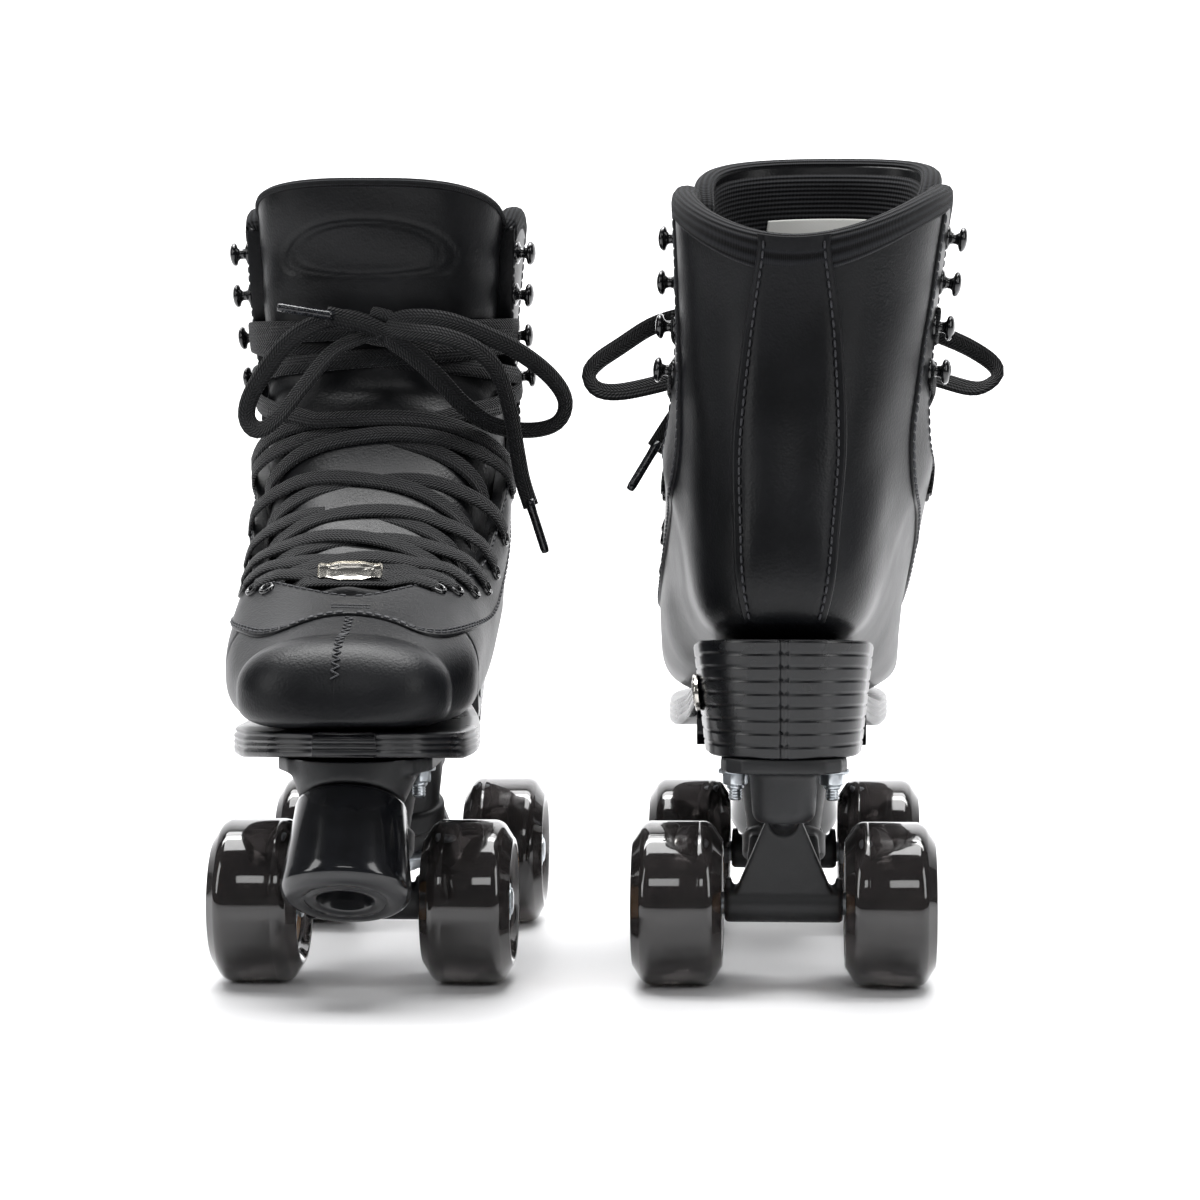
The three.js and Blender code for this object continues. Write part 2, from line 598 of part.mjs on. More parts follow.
function axle(end) {
  const [y, z] = [end * AXLE_Y, AXLE_Z];
  const shaft = rod([-AXLE_HALF, y, z], [AXLE_HALF, y, z], AXLE_R, 8);
  const outside = WHEEL_X + HUB_WIDTH / 2 - 1.5;
  const nutEnds = [outside, outside + NUT_LENGTH];
  const nuts = [-1, 1].map((side) => rod(...nutEnds.map((x) => [side * x, y, z]), NUT_R, 6));
  return join(shaft, ...nuts);
}

// The tread's flats lie on the wheel's radius, so that a wheel stands on a flat.
function tyre(x, end) {
  const outer = WHEEL_R / Math.cos(Math.PI / TREAD_SIDES);
  const half = WHEEL_WIDTH / 2;
  const profile = [
    [HUB_R, -half + 3], [outer - 6, -half], [outer, -half + 8],
    [outer, half - 8], [outer - 6, half], [HUB_R, half - 3],
  ];
  return turned(profile, x, end * AXLE_Y, AXLE_Z, TREAD_SIDES, Math.PI / TREAD_SIDES);
}

function hub(x, end) {
  const half = HUB_WIDTH / 2;
  const rim = HUB_R - GAP;
  const bore = AXLE_R + 2 * GAP;
  const profile = [[bore, -half + 3], [12, -half], [rim, -half], [rim, half], [12, half], [bore, half - 3]];
  return turned(profile, x, end * AXLE_Y, AXLE_Z, 12, Math.PI / 12);
}

// ---------------------------------------------------------------- the toe stop
function stopPoint(distance) {
  return [0, STOP_TOP[0] + Math.sin(STOP_TILT) * distance, STOP_TOP[1] - Math.cos(STOP_TILT) * distance];
}

function toeStop() {
  const body = rod(stopPoint(GAP), stopPoint(STOP_LENGTH - 6), 19, 16, STOP_R);
  const nose = rod(stopPoint(STOP_LENGTH - 6), stopPoint(STOP_LENGTH), STOP_R, 16, STOP_R - 5);
  const well = rod(stopPoint(STOP_LENGTH - 22), stopPoint(STOP_LENGTH + 5), 9, 12);
  return join(body, nose).subtract(join(well, rod(stopPoint(-5), stopPoint(STOP_LENGTH), 4 + 2 * GAP, 8)));
}

function toeStopBolt() {
  const seat = STOP_LENGTH - 22 + GAP;
  const shank = rod(stopPoint(-11), stopPoint(seat + 2), 4, 8);
  return join(shank, rod(stopPoint(seat), stopPoint(seat + 8), 6.5, 8));
}

// ---------------------------------------------------------------- the pair
const FINISHES = {
  leather: { color: 0x24252a, roughness: 0.5, metalness: 0 },
  knit: { color: 0x1b1b1c, roughness: 0.95, metalness: 0 },
  sole: { color: 0x1e1f22, roughness: 0.45, metalness: 0 },
  nylon: { color: 0x2a2a2e, roughness: 0.6, metalness: 0 },
  steel: { color: 0xb4bcc2, roughness: 0.35, metalness: 1 },
  cushion: { color: 0x151516, roughness: 0.5, metalness: 0 },
  stopper: { color: 0x111215, roughness: 0.2, metalness: 0 },
  tyre: { color: 0x2b2a2c, roughness: 0.12, metalness: 0 },
  hub: { color: 0xb08248, roughness: 0.5, metalness: 0 },
  lace: { color: 0x121318, roughness: 0.95, metalness: 0 },
};

function skate(side) {
  const fit = FITS[side];
  const group = new THREE.Group();
  const put = (name, solid, finish) => {
    const mesh = new THREE.Mesh(geometryOf(solid), new THREE.MeshStandardMaterial(FINISHES[finish]));
    mesh.name = `${side}_${name}`;
    group.add(mesh);
  };
  put("boot_upper", bootUpper(fit), "leather");
  put("tongue", tongue(fit), "leather");
  put("sole_unit", soleUnit(), "sole");
  put("insole", insole(fit), "knit");
  put("lace", lace(BOWS[side], fit), "lace");
  put("plate", plate(), "nylon");
  for (const [place, spot] of Object.entries(BOLT_PLACES)) {
    put(`${place}_plate_bolt`, plateBolt(spot), "steel");
  }
  put("toe_stop", toeStop(), "stopper");
  put("toe_stop_bolt", toeStopBolt(), "steel");
  for (const [place, end] of [["front", 1], ["rear", -1]]) {
    put(`${place}_hanger`, hanger(end), "nylon");
    put(`${place}_axle`, axle(end), "steel");
    put(`${place}_kingpin`, kingpin(end), "steel");
    put(`${place}_upper_cushion`, cushion(end, 1), "cushion");
    put(`${place}_lower_cushion`, cushion(end, -1), "cushion");
    for (const [part, x] of [["outer", -WHEEL_X], ["inner", WHEEL_X]]) {
      put(`${place}_${part}_tyre`, tyre(x, end), "tyre");
      put(`${place}_${part}_hub`, hub(x, end), "hub");
    }
  }
  return group;
}

const pair = new THREE.Group();
const leftSkate = skate("left");
leftSkate.position.x = SKATE_X + OFF_CENTRE;
const rightSkate = skate("right");
rightSkate.position.x = -SKATE_X + OFF_CENTRE;
rightSkate.scale.y = -1;
pair.add(leftSkate, rightSkate);

export default pair;
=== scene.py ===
import functools
import math

import bmesh
import bpy
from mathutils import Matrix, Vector, noise


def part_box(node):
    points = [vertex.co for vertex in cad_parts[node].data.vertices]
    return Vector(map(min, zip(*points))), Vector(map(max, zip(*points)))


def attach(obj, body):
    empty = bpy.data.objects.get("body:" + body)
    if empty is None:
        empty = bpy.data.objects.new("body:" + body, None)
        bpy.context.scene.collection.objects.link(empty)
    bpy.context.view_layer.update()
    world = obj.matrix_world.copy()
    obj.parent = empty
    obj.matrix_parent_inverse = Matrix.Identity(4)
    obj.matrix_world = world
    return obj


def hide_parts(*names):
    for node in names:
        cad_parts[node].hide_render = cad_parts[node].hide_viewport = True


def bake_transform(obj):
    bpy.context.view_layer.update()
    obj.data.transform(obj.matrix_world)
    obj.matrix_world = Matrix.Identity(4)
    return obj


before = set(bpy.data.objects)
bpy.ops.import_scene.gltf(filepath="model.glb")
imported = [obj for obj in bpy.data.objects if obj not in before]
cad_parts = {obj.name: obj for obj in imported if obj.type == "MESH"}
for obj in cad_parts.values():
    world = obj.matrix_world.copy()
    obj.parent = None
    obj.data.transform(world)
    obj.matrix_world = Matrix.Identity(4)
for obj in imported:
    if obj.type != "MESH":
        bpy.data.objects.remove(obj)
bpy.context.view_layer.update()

# ------------------------------------------------------------------------------------------------
# The studio: a pale sweep of paper under and behind the pair, a long lens, and large softboxes.
# Black leather and urethane show their form only by what they reflect, so the lights are wide.
# ------------------------------------------------------------------------------------------------
EYE = Vector((0.0751, -1.259, 0.188))
EYE_DOWN = math.radians(2.5)
EYE_LEFT = math.radians(3.18)
LENS = 100.4

camera = bpy.data.objects.new("camera", bpy.data.cameras.new("camera"))
camera.data.lens = LENS
camera.data.sensor_width = 36
camera.data.clip_start = 0.01
camera.location = EYE
camera.rotation_euler = (math.pi / 2 - EYE_DOWN, 0, EYE_LEFT)
bpy.context.scene.collection.objects.link(camera)
bpy.context.scene.camera = camera
bpy.context.scene.view_settings.view_transform = "Standard"


def linear(hex_colour, alpha=1.0):
    """An sRGB hex colour as the linear numbers that a shader reads."""
    channels = [int(hex_colour[i : i + 2], 16) / 255 for i in (1, 3, 5)]
    return tuple(c / 12.92 if c <= 0.04045 else ((c + 0.055) / 1.055) ** 2.4 for c in channels) + (alpha,)


def add_node(tree, kind, inputs=None, stops=(), **settings):
    """Adds a node, sets its settings and a ramp's stops (place, hex colour), and sets or links its inputs."""
    made = tree.nodes.new(kind)
    for name, value in settings.items():
        setattr(made, name, value)
    for name, value in (inputs or {}).items():
        if isinstance(value, bpy.types.NodeSocket):
            tree.links.new(value, made.inputs[name])
        else:
            made.inputs[name].default_value = value
    if stops:
        for element, (place, hex_colour) in zip(made.color_ramp.elements, stops):
            element.position = place
            element.color = linear(hex_colour)
    return made


def new_material(name):
    """An empty material, its node tree, and its surface shader."""
    material = bpy.data.materials.new(name)
    material.use_nodes = True
    tree = material.node_tree
    tree.nodes.clear()
    shader = add_node(tree, "ShaderNodeBsdfPrincipled")
    add_node(tree, "ShaderNodeOutputMaterial", {"Surface": shader.outputs[0]})
    return material, tree, shader


backdrop_paper, tree, shader = new_material("matte_backdrop_paper")
shader.inputs["Base Color"].default_value = linear("#e9e9ea")
shader.inputs["Roughness"].default_value = 0.42
shader.inputs["Specular IOR Level"].default_value = 0.25

SWEEP_HALF = 3.0
SWEEP_BACK = 1.6
SWEEP_RADIUS = 0.8
profile = [(-SWEEP_HALF * 1.5, 0.0), (SWEEP_BACK - SWEEP_RADIUS, 0.0)]
for step in range(1, 25):
    turn = step / 24 * math.pi / 2
    profile.append((SWEEP_BACK + SWEEP_RADIUS * (math.sin(turn) - 1), SWEEP_RADIUS * (1 - math.cos(turn))))
profile.append((SWEEP_BACK, SWEEP_HALF))
sweep_mesh = bpy.data.meshes.new("backdrop")
sweep_mesh.from_pydata(
    [(x, y, z) for y, z in profile for x in (-SWEEP_HALF, SWEEP_HALF)],
    [],
    [(2 * i, 2 * i + 1, 2 * i + 3, 2 * i + 2) for i in range(len(profile) - 1)],
)
sweep_mesh.materials.append(backdrop_paper)
for face in sweep_mesh.polygons:
    face.use_smooth = True
backdrop = bpy.data.objects.new("backdrop", sweep_mesh)
bpy.context.scene.collection.objects.link(backdrop)


def softbox(name, place, aim, width, height, watts, hex_colour="#ffffff"):
    """A rectangular light at one point, turned to face another."""
    light = bpy.data.lights.new(name, "AREA")
    light.shape = "RECTANGLE"
    light.size = width
    light.size_y = height
    light.energy = watts
    light.color = linear(hex_colour)[:3]
    holder = bpy.data.objects.new(name, light)
    holder.location = place
    holder.rotation_euler = (Vector(aim) - Vector(place)).to_track_quat("-Z", "Y").to_euler()
    bpy.context.scene.collection.objects.link(holder)


softbox("top_softbox", (0.0, 0.25, 1.9), (0, 0.1, 0.0), 1.8, 1.3, 55)
softbox("left_softbox", (-1.7, -0.9, 1.0), (0, 0, 0.15), 0.5, 1.3, 9)
softbox("right_softbox", (1.7, -0.9, 1.0), (0, 0, 0.15), 0.5, 1.3, 9)
softbox("front_softbox", (0.1, -2.4, 1.7), (0, 0, 0.15), 1.2, 0.5, 8)
softbox("paper_light", (0.0, 0.5, 2.2), (0, 1.6, 0.9), 3.2, 0.5, 66)

world = bpy.data.worlds.new("studio")
bpy.context.scene.world = world
world.use_nodes = True
world.node_tree.nodes["Background"].inputs["Color"].default_value = linear("#f4f5f7")
world.node_tree.nodes["Background"].inputs["Strength"].default_value = 0.1

# ------------------------------------------------------------------------------------------------
# The boot's last: the shape that each upper is pulled over, as sections from the toe, round the
# heel and up to the collar. Sizes are millimetres in a skate's own frame, toe to +Y, inner side
# to +X; the right skate is its mirror image, front to back.
# ------------------------------------------------------------------------------------------------
MM = 0.001
SIDES = ("left", "right")
FLIP = {"left": 1, "right": -1}
# How each boot stands: a lean to its inner side and the height over which it grows, a shift of
# its toe, and how much wider its leg is each side.
FITS = {"left": (16.0, 160.0, 1.5, -2.0), "right": (-10.0, 110.0, -2.5, 2.0)}
MIDDLE = {side: sum(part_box(f"{side}_front_axle"), Vector()).x / 2 / MM for side in SIDES}

# Each section: back y and z, front y and z, half width, centre share, front power, back power,
# taper towards the back, and sideways shift.
LAST = [
    (116, 92.9, 116, 126, 37, 0.4, 2.3, 3.6, 0, 0.5),
    (96, 92.6, 94, 134, 43.5, 0.42, 2.3, 3.6, 0, 0),
    (70, 92.0, 66, 147, 46.2, 0.42, 2.3, 3.4, 0, -2.5),
    (40, 93.0, 42, 163, 46.2, 0.42, 2.3, 3.2, 0.02, -2.5),
    (8, 99.0, 22, 180, 46, 0.46, 2.4, 3.0, 0.08, -1.5),
    (-28, 110.0, 7, 197, 45.5, 0.52, 2.5, 3.4, 0.2, 0),
    (-66, 119.5, -1, 209, 45, 0.55, 2.5, 4.2, 0.28, 0),
    (-100, 124.2, -5, 218, 45, 0.55, 2.5, 4.2, 0.3, 0),
    (-116, 140.0, -6, 226, 44, 0.54, 2.5, 3.0, 0.28, 0),
    (-116.5, 168.0, -7, 236, 44.3, 0.52, 2.5, 2.2, 0.24, 0),
    (-111, 200.0, -7, 250, 45.8, 0.5, 2.6, 2.1, 0.16, 0),
    (-109, 232.0, -5, 268, 48, 0.5, 2.6, 2.1, 0.1, 0),
    (-112, 262.0, -2, 287, 50, 0.5, 2.6, 2.1, 0.06, 0),
    (-114, 278.0, 1, 303, 50, 0.5, 2.6, 2.1, 0.06, 0),
]
TOE_CAP = 29.0
TOE_CAP_POWER = 2.3
TOE_SPRING = 2.0
TOE_TIP = 0.3  # how high the foremost point lies, as a share of the way to the widest level
THROAT_START = 1.3
THROAT_ANGLE = 66.0  # degrees from the front line to the throat's edge, once it is open
RIPPLE = 0.5  # soft unevenness of lasted leather


@functools.lru_cache(maxsize=None)
def last_section(at):
    """The last's section at a fractional number, on a smooth curve through the table."""
    i = min(max(int(math.floor(at)), 0), len(LAST) - 2)
    t = at - i
    a, b, c, d = (LAST[min(max(i + k, 0), len(LAST) - 1)] for k in (-1, 0, 1, 2))
    return tuple(
        q + 0.5 * t * (r - p + t * (2 * p - 5 * q + 4 * r - s + t * (3 * (q - r) + s - p)))
        for p, q, r, s in zip(a, b, c, d)
    )


def boot_point(side, section, angle, inset=0.0):
    """A point of the boot: angle is in radians from the front line towards the inner side."""
    back_y, back_z, front_y, front_z, half, share, front_power, back_power, taper, shift = last_section(
        max(section, 0.0)
    )
    sway, over, toe, spread_out = FITS[side]
    half += spread_out * min(max((section - 6) / 3, 0.0), 1.0)
    cap = min(max(-section, 0.0), 1.0)
    close = (1 - cap**TOE_CAP_POWER) ** (1 / TOE_CAP_POWER)
    sin, cos = math.sin(angle), math.cos(angle)
    lump = noise.noise(Vector((section * 0.9, cos * 1.4 + FLIP[side] * 7, sin * 1.4)))
    inset -= RIPPLE * lump * (1 - cap)
    long_y, long_z = front_y - back_y, front_z - back_z
    length = math.hypot(long_y, long_z)
    reach = (1 - share if cos > 0 else share) * length - inset
    power = front_power if cos > 0 else back_power
    radius = ((abs(sin) / (half - inset)) ** power + (abs(cos) / reach) ** power) ** (-1 / power)
    low = inset + share * length * TOE_TIP
    along = low + (share * length + radius * cos - low) * close
    y = back_y + long_y / length * along + cap * (TOE_CAP - inset)
    z = back_z + long_z / length * along + cap * TOE_SPRING
    x = shift + radius * close * sin * (1 + taper * cos)
    up = min(max((z - 130) / over, 0.0), 1.0)
    forward = min(max((y + 115) / 110, 0.0), 1.0)
    toe *= min(max(y / 80, 0.0), 1.0) * (1 - up)
    return Vector((x + sway * up * (0.2 + 0.8 * forward) + toe, y, z))


def boot_normal(side, section, angle):
    """The way out of the boot's surface at a point."""
    here = boot_point(side, section, angle)
    ahead = boot_point(side, section + 0.02, angle) - here
    round_it = boot_point(side, section, angle + 0.02) - here
    normal = ahead.cross(round_it).normalized()
    inside = boot_point(side, section, angle, 6.0)
    return normal if normal.dot(here - inside) > 0 else -normal


def on_boot(side, section, angle, lift=0.0):
    """A point that far above the boot's surface."""
    return boot_point(side, section, angle) + boot_normal(side, section, angle) * lift


def throat_angle(section):
    """Degrees from the front line to the edge of the throat."""
    if section <= THROAT_START:
        return 0.0
    opened = 1 - math.exp(-(section - THROAT_START) / 0.85)
    return THROAT_ANGLE * opened**0.62


def collar_section(angle):
    """The section at which the collar ends: low at the back, high at the sides, round at the front."""
    from_back = abs(math.pi - angle % (2 * math.pi))
    rise = min(from_back / math.radians(75), 1.0)
    top = 11.9 + 0.45 * (3 * rise**2 - 2 * rise**3)
    from_edge = (math.pi - math.radians(throat_angle(12)) - from_back) / math.radians(20)
    return top - 0.6 * max(1 - from_edge, 0.0) ** 2


def grid_faces(rows, columns, wrap=False):
    """The faces of a grid of points laid row by row; wrap joins the last column to the first."""
    faces = []
    for i in range(rows - 1):
        for j in range(columns if wrap else columns - 1):
            a, b = i * columns + j, i * columns + (j + 1) % columns
            faces.append((a, b, b + columns, a + columns))
    return faces


def make_piece(name, side, points, faces, finish, body, slot, uvs=None, smooth=True):
    """A mesh object from points in the skate's own frame, mirrored for the right skate.
    """
    flip = FLIP[side]
    mesh = bpy.data.meshes.new(name)
    places = [((MIDDLE[side] + x) * MM, flip * y * MM, z * MM) for x, y, z in points]
    mesh.from_pydata(places, [], faces)
    if uvs:
        layer = mesh.uv_layers.new(name="strip")
        for loop in mesh.loops:
            layer.data[loop.index].uv = uvs[loop.vertex_index]
    shape = bmesh.new()
    shape.from_mesh(mesh)
    bmesh.ops.remove_doubles(shape, verts=shape.verts, dist=2e-6)
    bmesh.ops.dissolve_degenerate(shape, dist=1e-6, edges=shape.edges)
    bmesh.ops.recalc_face_normals(shape, faces=shape.faces)
    shape.to_mesh(mesh)
    shape.free()
    for polygon in mesh.polygons:
        polygon.use_smooth = smooth
    mesh.materials.append(finish)
    piece = bpy.data.objects.new(name, mesh)
    bpy.context.scene.collection.objects.link(piece)
    if isinstance(body, tuple):
        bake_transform(piece)
    else:
        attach(piece, body)
    return piece


def shell(outer, inner):
    """Points and faces of a closed skin between two equal grids, each a list of rows."""
    rows, columns = len(outer), len(outer[0])
    points = [p for row in outer for p in row] + [p for row in inner for p in row]
    low = rows * columns
    faces = grid_faces(rows, columns)
    faces += [tuple(low + k for k in reversed(face)) for face in faces]
    ring = [j for j in range(columns)]
    ring += [i * columns + columns - 1 for i in range(1, rows)]
    ring += [(rows - 1) * columns + j for j in range(columns - 2, -1, -1)]
    ring += [i * columns for i in range(rows - 2, 0, -1)]
    for a, b in zip(ring, ring[1:] + ring[:1]):
        faces.append((b, a, a + low, b + low))
    return points, faces


def spread(low, high, count):
    """That many evenly spaced numbers, ends included."""
    return [low + (high - low) * i / (count - 1) for i in range(count)]


# ------------------------------------------------------------------------------------------------
# The uppers: black smooth polyurethane leather on a knit backing, cut as vamp and quarters,
# lasted over the form and cemented to the sole. The embossed pebble grain gives a soft, broken
# highlight, and stretched places are smoother and a little glossier.
# ------------------------------------------------------------------------------------------------
LEATHER_SKIN = 2.0
GRAIN = 0.9  # mm across a pebble; the real one is about half this, too fine to show


def pu_leather(name, hex_dark, hex_light, roughness):
    material, tree, shader = new_material(name)
    place = add_node(tree, "ShaderNodeTexCoord").outputs["Object"]
    cells = add_node(
        tree,
        "ShaderNodeTexVoronoi",
        {"Vector": place, "Scale": 1000 / GRAIN, "Smoothness": 0.6},
        feature="SMOOTH_F1",
    )
    creases = add_node(tree, "ShaderNodeTexNoise", {"Vector": place, "Scale": 1000 / 2.4, "Detail": 4.0})
    clouds = add_node(tree, "ShaderNodeTexNoise", {"Vector": place, "Scale": 1000 / 38, "Detail": 3.0})
    tint = add_node(
        tree, "ShaderNodeValToRGB", {"Fac": clouds.outputs["Fac"]},
        stops=((0.35, hex_dark), (0.7, hex_light)),
    )
    tree.links.new(tint.outputs["Color"], shader.inputs["Base Color"])
    gloss = add_node(
        tree,
        "ShaderNodeMapRange",
        {"Value": clouds.outputs["Fac"], "From Min": 0.3, "From Max": 0.7, "To Min": roughness - 0.05,
         "To Max": roughness + 0.06},
    )
    tree.links.new(gloss.outputs["Result"], shader.inputs["Roughness"])
    height = add_node(
        tree,
        "ShaderNodeMath",
        {0: creases.outputs["Fac"], 1: cells.outputs["Distance"]},
        operation="ADD",
    )
    grain = add_node(
        tree,
        "ShaderNodeBump",
        {"Height": height.outputs[0], "Strength": 0.32, "Distance": 0.00022},
    )
    tree.links.new(grain.outputs["Normal"], shader.inputs["Normal"])
    shader.inputs["Specular IOR Level"].default_value = 0.24
    return material


upper_leather = pu_leather("embossed_pu_leather", "#0b0c0e", "#131417", 0.38)
UPPER_COLUMNS = 150
cap_rows = [-math.sin(math.radians(90 - 90 * i / 26)) for i in range(26)]
UPPER_ROWS = cap_rows + spread(0, 12, 130)

for side in SIDES:
    grids = []
    for inset in (0.0, LEATHER_SKIN):
        grid = []
        for section in UPPER_ROWS:
            row = []
            for j in range(UPPER_COLUMNS):
                edge = math.radians(throat_angle(section))
                angle = edge + (2 * math.pi - 2 * edge) * j / (UPPER_COLUMNS - 1)
                to_collar = max(section - 10, 0) / 2
                at = section if section < 10 else 10 + (collar_section(angle) - 10) * to_collar
                row.append(boot_point(side, at, angle, inset))
            grid.append(row)
        grids.append(grid)
    points, faces = shell(*grids)
    piece = make_piece(
        f"{side}_upper_leather", side, points, faces, upper_leather, f"{side}_skate", "leather"
    )
    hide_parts(f"{side}_boot_upper")

# ------------------------------------------------------------------------------------------------
# The facings: a second layer of the same leather each side of the throat, cut in one sweep from
# the vamp point round to the side and up to the collar. It is folded over the throat's edge and
# lockstitched down along both edges.
# ------------------------------------------------------------------------------------------------
FACING_THICK = 0.9
# Rows from the vamp point to the collar: throat section, outer edge's section and degrees.
FACING = [
    (1.3, 0.78, 0), (1.32, 0.72, 20), (1.36, 0.6, 38), (1.42, 0.5, 50), (1.5, 0.52, 58), (1.62, 0.72, 65),
    (1.85, 1.15, 70), (2.4, 2, 76), (3.2, 3, 82), (4.5, 4.5, 88), (7, 7, 95), (10, 10, 97), (12, 12, 97),
]
STITCH_PITCH = 3.4
STITCH_LENGTH = 2.7
STITCH_R = 0.46


def smooth_row(rows, at):
    """A row of a table at a fractional number, on a smooth curve through it."""
    i = min(max(int(math.floor(at)), 0), len(rows) - 2)
    t = at - i
    a, b, c, d = (rows[min(max(i + k, 0), len(rows) - 1)] for k in (-1, 0, 1, 2))
    return [
        q + 0.5 * t * (r - p + t * (2 * p - 5 * q + 4 * r - s + t * (3 * (q - r) + s - p)))
        for p, q, r, s in zip(a, b, c, d)
    ]


def below_collar(section, angle):
    """The section number that keeps a row between the ankle and the collar's own curve."""
    if section < 10:
        return section
    return 10 + (collar_section(angle) - 10) * (section - 10) / 2


def facing_point(side, hand, row, across, lift):
    """A point of a facing: across runs from the throat's edge, 0, to its outer edge, 1."""
    throat, outer, degrees = smooth_row(FACING, row)
    edge = throat_angle(throat)
    angle = math.radians(edge + (degrees - edge) * across)
    section = below_collar(throat + (outer - throat) * across, angle)
    return on_boot(side, section, hand * angle, lift)


thread_black, tree, shader = new_material("bonded_nylon_thread")
thread_place = add_node(tree, "ShaderNodeTexCoord").outputs["Object"]
thread_twist = add_node(tree, "ShaderNodeTexNoise", {"Vector": thread_place, "Scale": 2600.0})
thread_tint = add_node(
    tree, "ShaderNodeValToRGB", {"Fac": thread_twist.outputs["Fac"]},
    stops=((0.3, "#1b1c1f"), (0.7, "#3b3c41")),
)
tree.links.new(thread_tint.outputs["Color"], shader.inputs["Base Color"])
shader.inputs["Roughness"].default_value = 0.55


def along_path(path, pitch):
    """Points each one pitch along a polyline, with the way on at each."""
    found = []
    left = pitch / 2
    for a, b in zip(path, path[1:]):
        step = (b - a).length
        while left < step:
            found.append((a + (b - a) * (left / step), (b - a) / step))
            left += pitch
        left -= step
    return found


def stitch_mesh(seams):
    """Small rounded stitches along seams, each seam a list of points on the leather."""
    points, faces = [], []
    ring = [(math.cos(math.pi * k / 3), math.sin(math.pi * k / 3)) for k in range(6)]
    rows = [(-0.5, 0.15), (-0.42, 0.75), (-0.2, 1), (0.2, 1), (0.42, 0.75), (0.5, 0.15)]
    for seam in seams:
        for middle, way in along_path(seam, STITCH_PITCH):
            across = way.orthogonal().normalized()
            other = way.cross(across)
            first = len(points)
            for along, size in rows:
                for c, s in ring:
                    reach = (across * c + other * s) * STITCH_R * size
                    points.append(middle + way * along * STITCH_LENGTH + reach)
            faces += [tuple(first + k for k in face) for face in grid_faces(len(rows), 6, wrap=True)]
            faces.append(tuple(first + k for k in range(6)))
            faces.append(tuple(first + 30 + k for k in range(6)))
    return points, faces


EDGE_SHARES = [(0, 0.0), (0.004, 0.55), (0.014, 0.9), (0.03, 1.0)]
facing_rows = spread(0, len(FACING) - 1, 150)
for side in SIDES:
    for hand, label in ((1, "inner"), (-1, "outer")):
        grid = []
        for row in facing_rows:
            line = []
            for depth in (-4.6, -3.0, -1.5):
                line.append(facing_point(side, hand, row, -0.004, depth))
            for share, rise in EDGE_SHARES:
                line.append(facing_point(side, hand, row, share, FACING_THICK * rise))
            for share in spread(0.08, 0.93, 12):
                line.append(facing_point(side, hand, row, share, FACING_THICK))
            for share, rise in reversed(EDGE_SHARES):
                line.append(facing_point(side, hand, row, 1 - share, FACING_THICK * rise))
            line.append(facing_point(side, hand, row, 1, -0.5))
            grid.append(line)
        points = [p for line in grid for p in line]
        faces = grid_faces(len(grid), len(grid[0]))
        piece = make_piece(
            f"{side}_{label}_facing", side, points, faces, upper_leather, f"{side}_skate", "leather"
        )
        seams = [
            [facing_point(side, hand, row, across, FACING_THICK + 0.05) for row in facing_rows[4:-3]]
            for across in (0.05, 0.945, 0.905)
        ]
        points, faces = stitch_mesh(seams)
        make_piece(
            f"{side}_{label}_facing_stitches", side, points, faces, thread_black, f"{side}_skate", "leather"
        )

# ------------------------------------------------------------------------------------------------
# The back strip: a long leather tab sewn over the seam that closes the quarters at the heel,
# waisted at the collar and at the sole. Its turned edges stand up as a ridge beside a row of
# thick stitches.
# ------------------------------------------------------------------------------------------------
BACK_STRIP = [(7.5, 12.5), (8.5, 17.0), (9.6, 20.8), (10.8, 17.5), (11.8, 12.2), (12.1, 11.9)]
BACK_STRIP_THICK = 1.3


def back_strip_point(side, row, across, lift):
    """A point of the back strip: across is -1 to 1 from edge to edge."""
    section, half = smooth_row(BACK_STRIP, row)
    angle = math.pi + across * half / 50.0
    return on_boot(side, below_collar(section, angle), angle, lift)


strip_rows = spread(0, len(BACK_STRIP) - 1, 110)
STRIP_ACROSS = [
    (1, -0.5), (1, 0.4), (0.985, 1.15), (0.95, 1.6), (0.9, 1.5), (0.86, 0.8), (0.8, 0.7), (0.74, 1.0)
]
strip_line = [(-a, l) for a, l in STRIP_ACROSS] + [(a, 1.0) for a in spread(-0.6, 0.6, 9)]
strip_line += [(a, l) for a, l in reversed(STRIP_ACROSS)]
for side in SIDES:
    points = [
        back_strip_point(side, row, across, lift * BACK_STRIP_THICK) for row in strip_rows for across,
        lift in strip_line
    ]
    faces = grid_faces(len(strip_rows), len(strip_line))
    make_piece(f"{side}_back_strip", side, points, faces, upper_leather, f"{side}_skate", "leather")
    seams = [
        [back_strip_point(side, row, across, BACK_STRIP_THICK + 0.1) for row in strip_rows[2:-4]]
        for across in (-0.83, 0.83)
    ]
    points, faces = stitch_mesh(seams)
    make_piece(f"{side}_back_strip_stitches", side, points, faces, thread_black, f"{side}_skate", "leather")

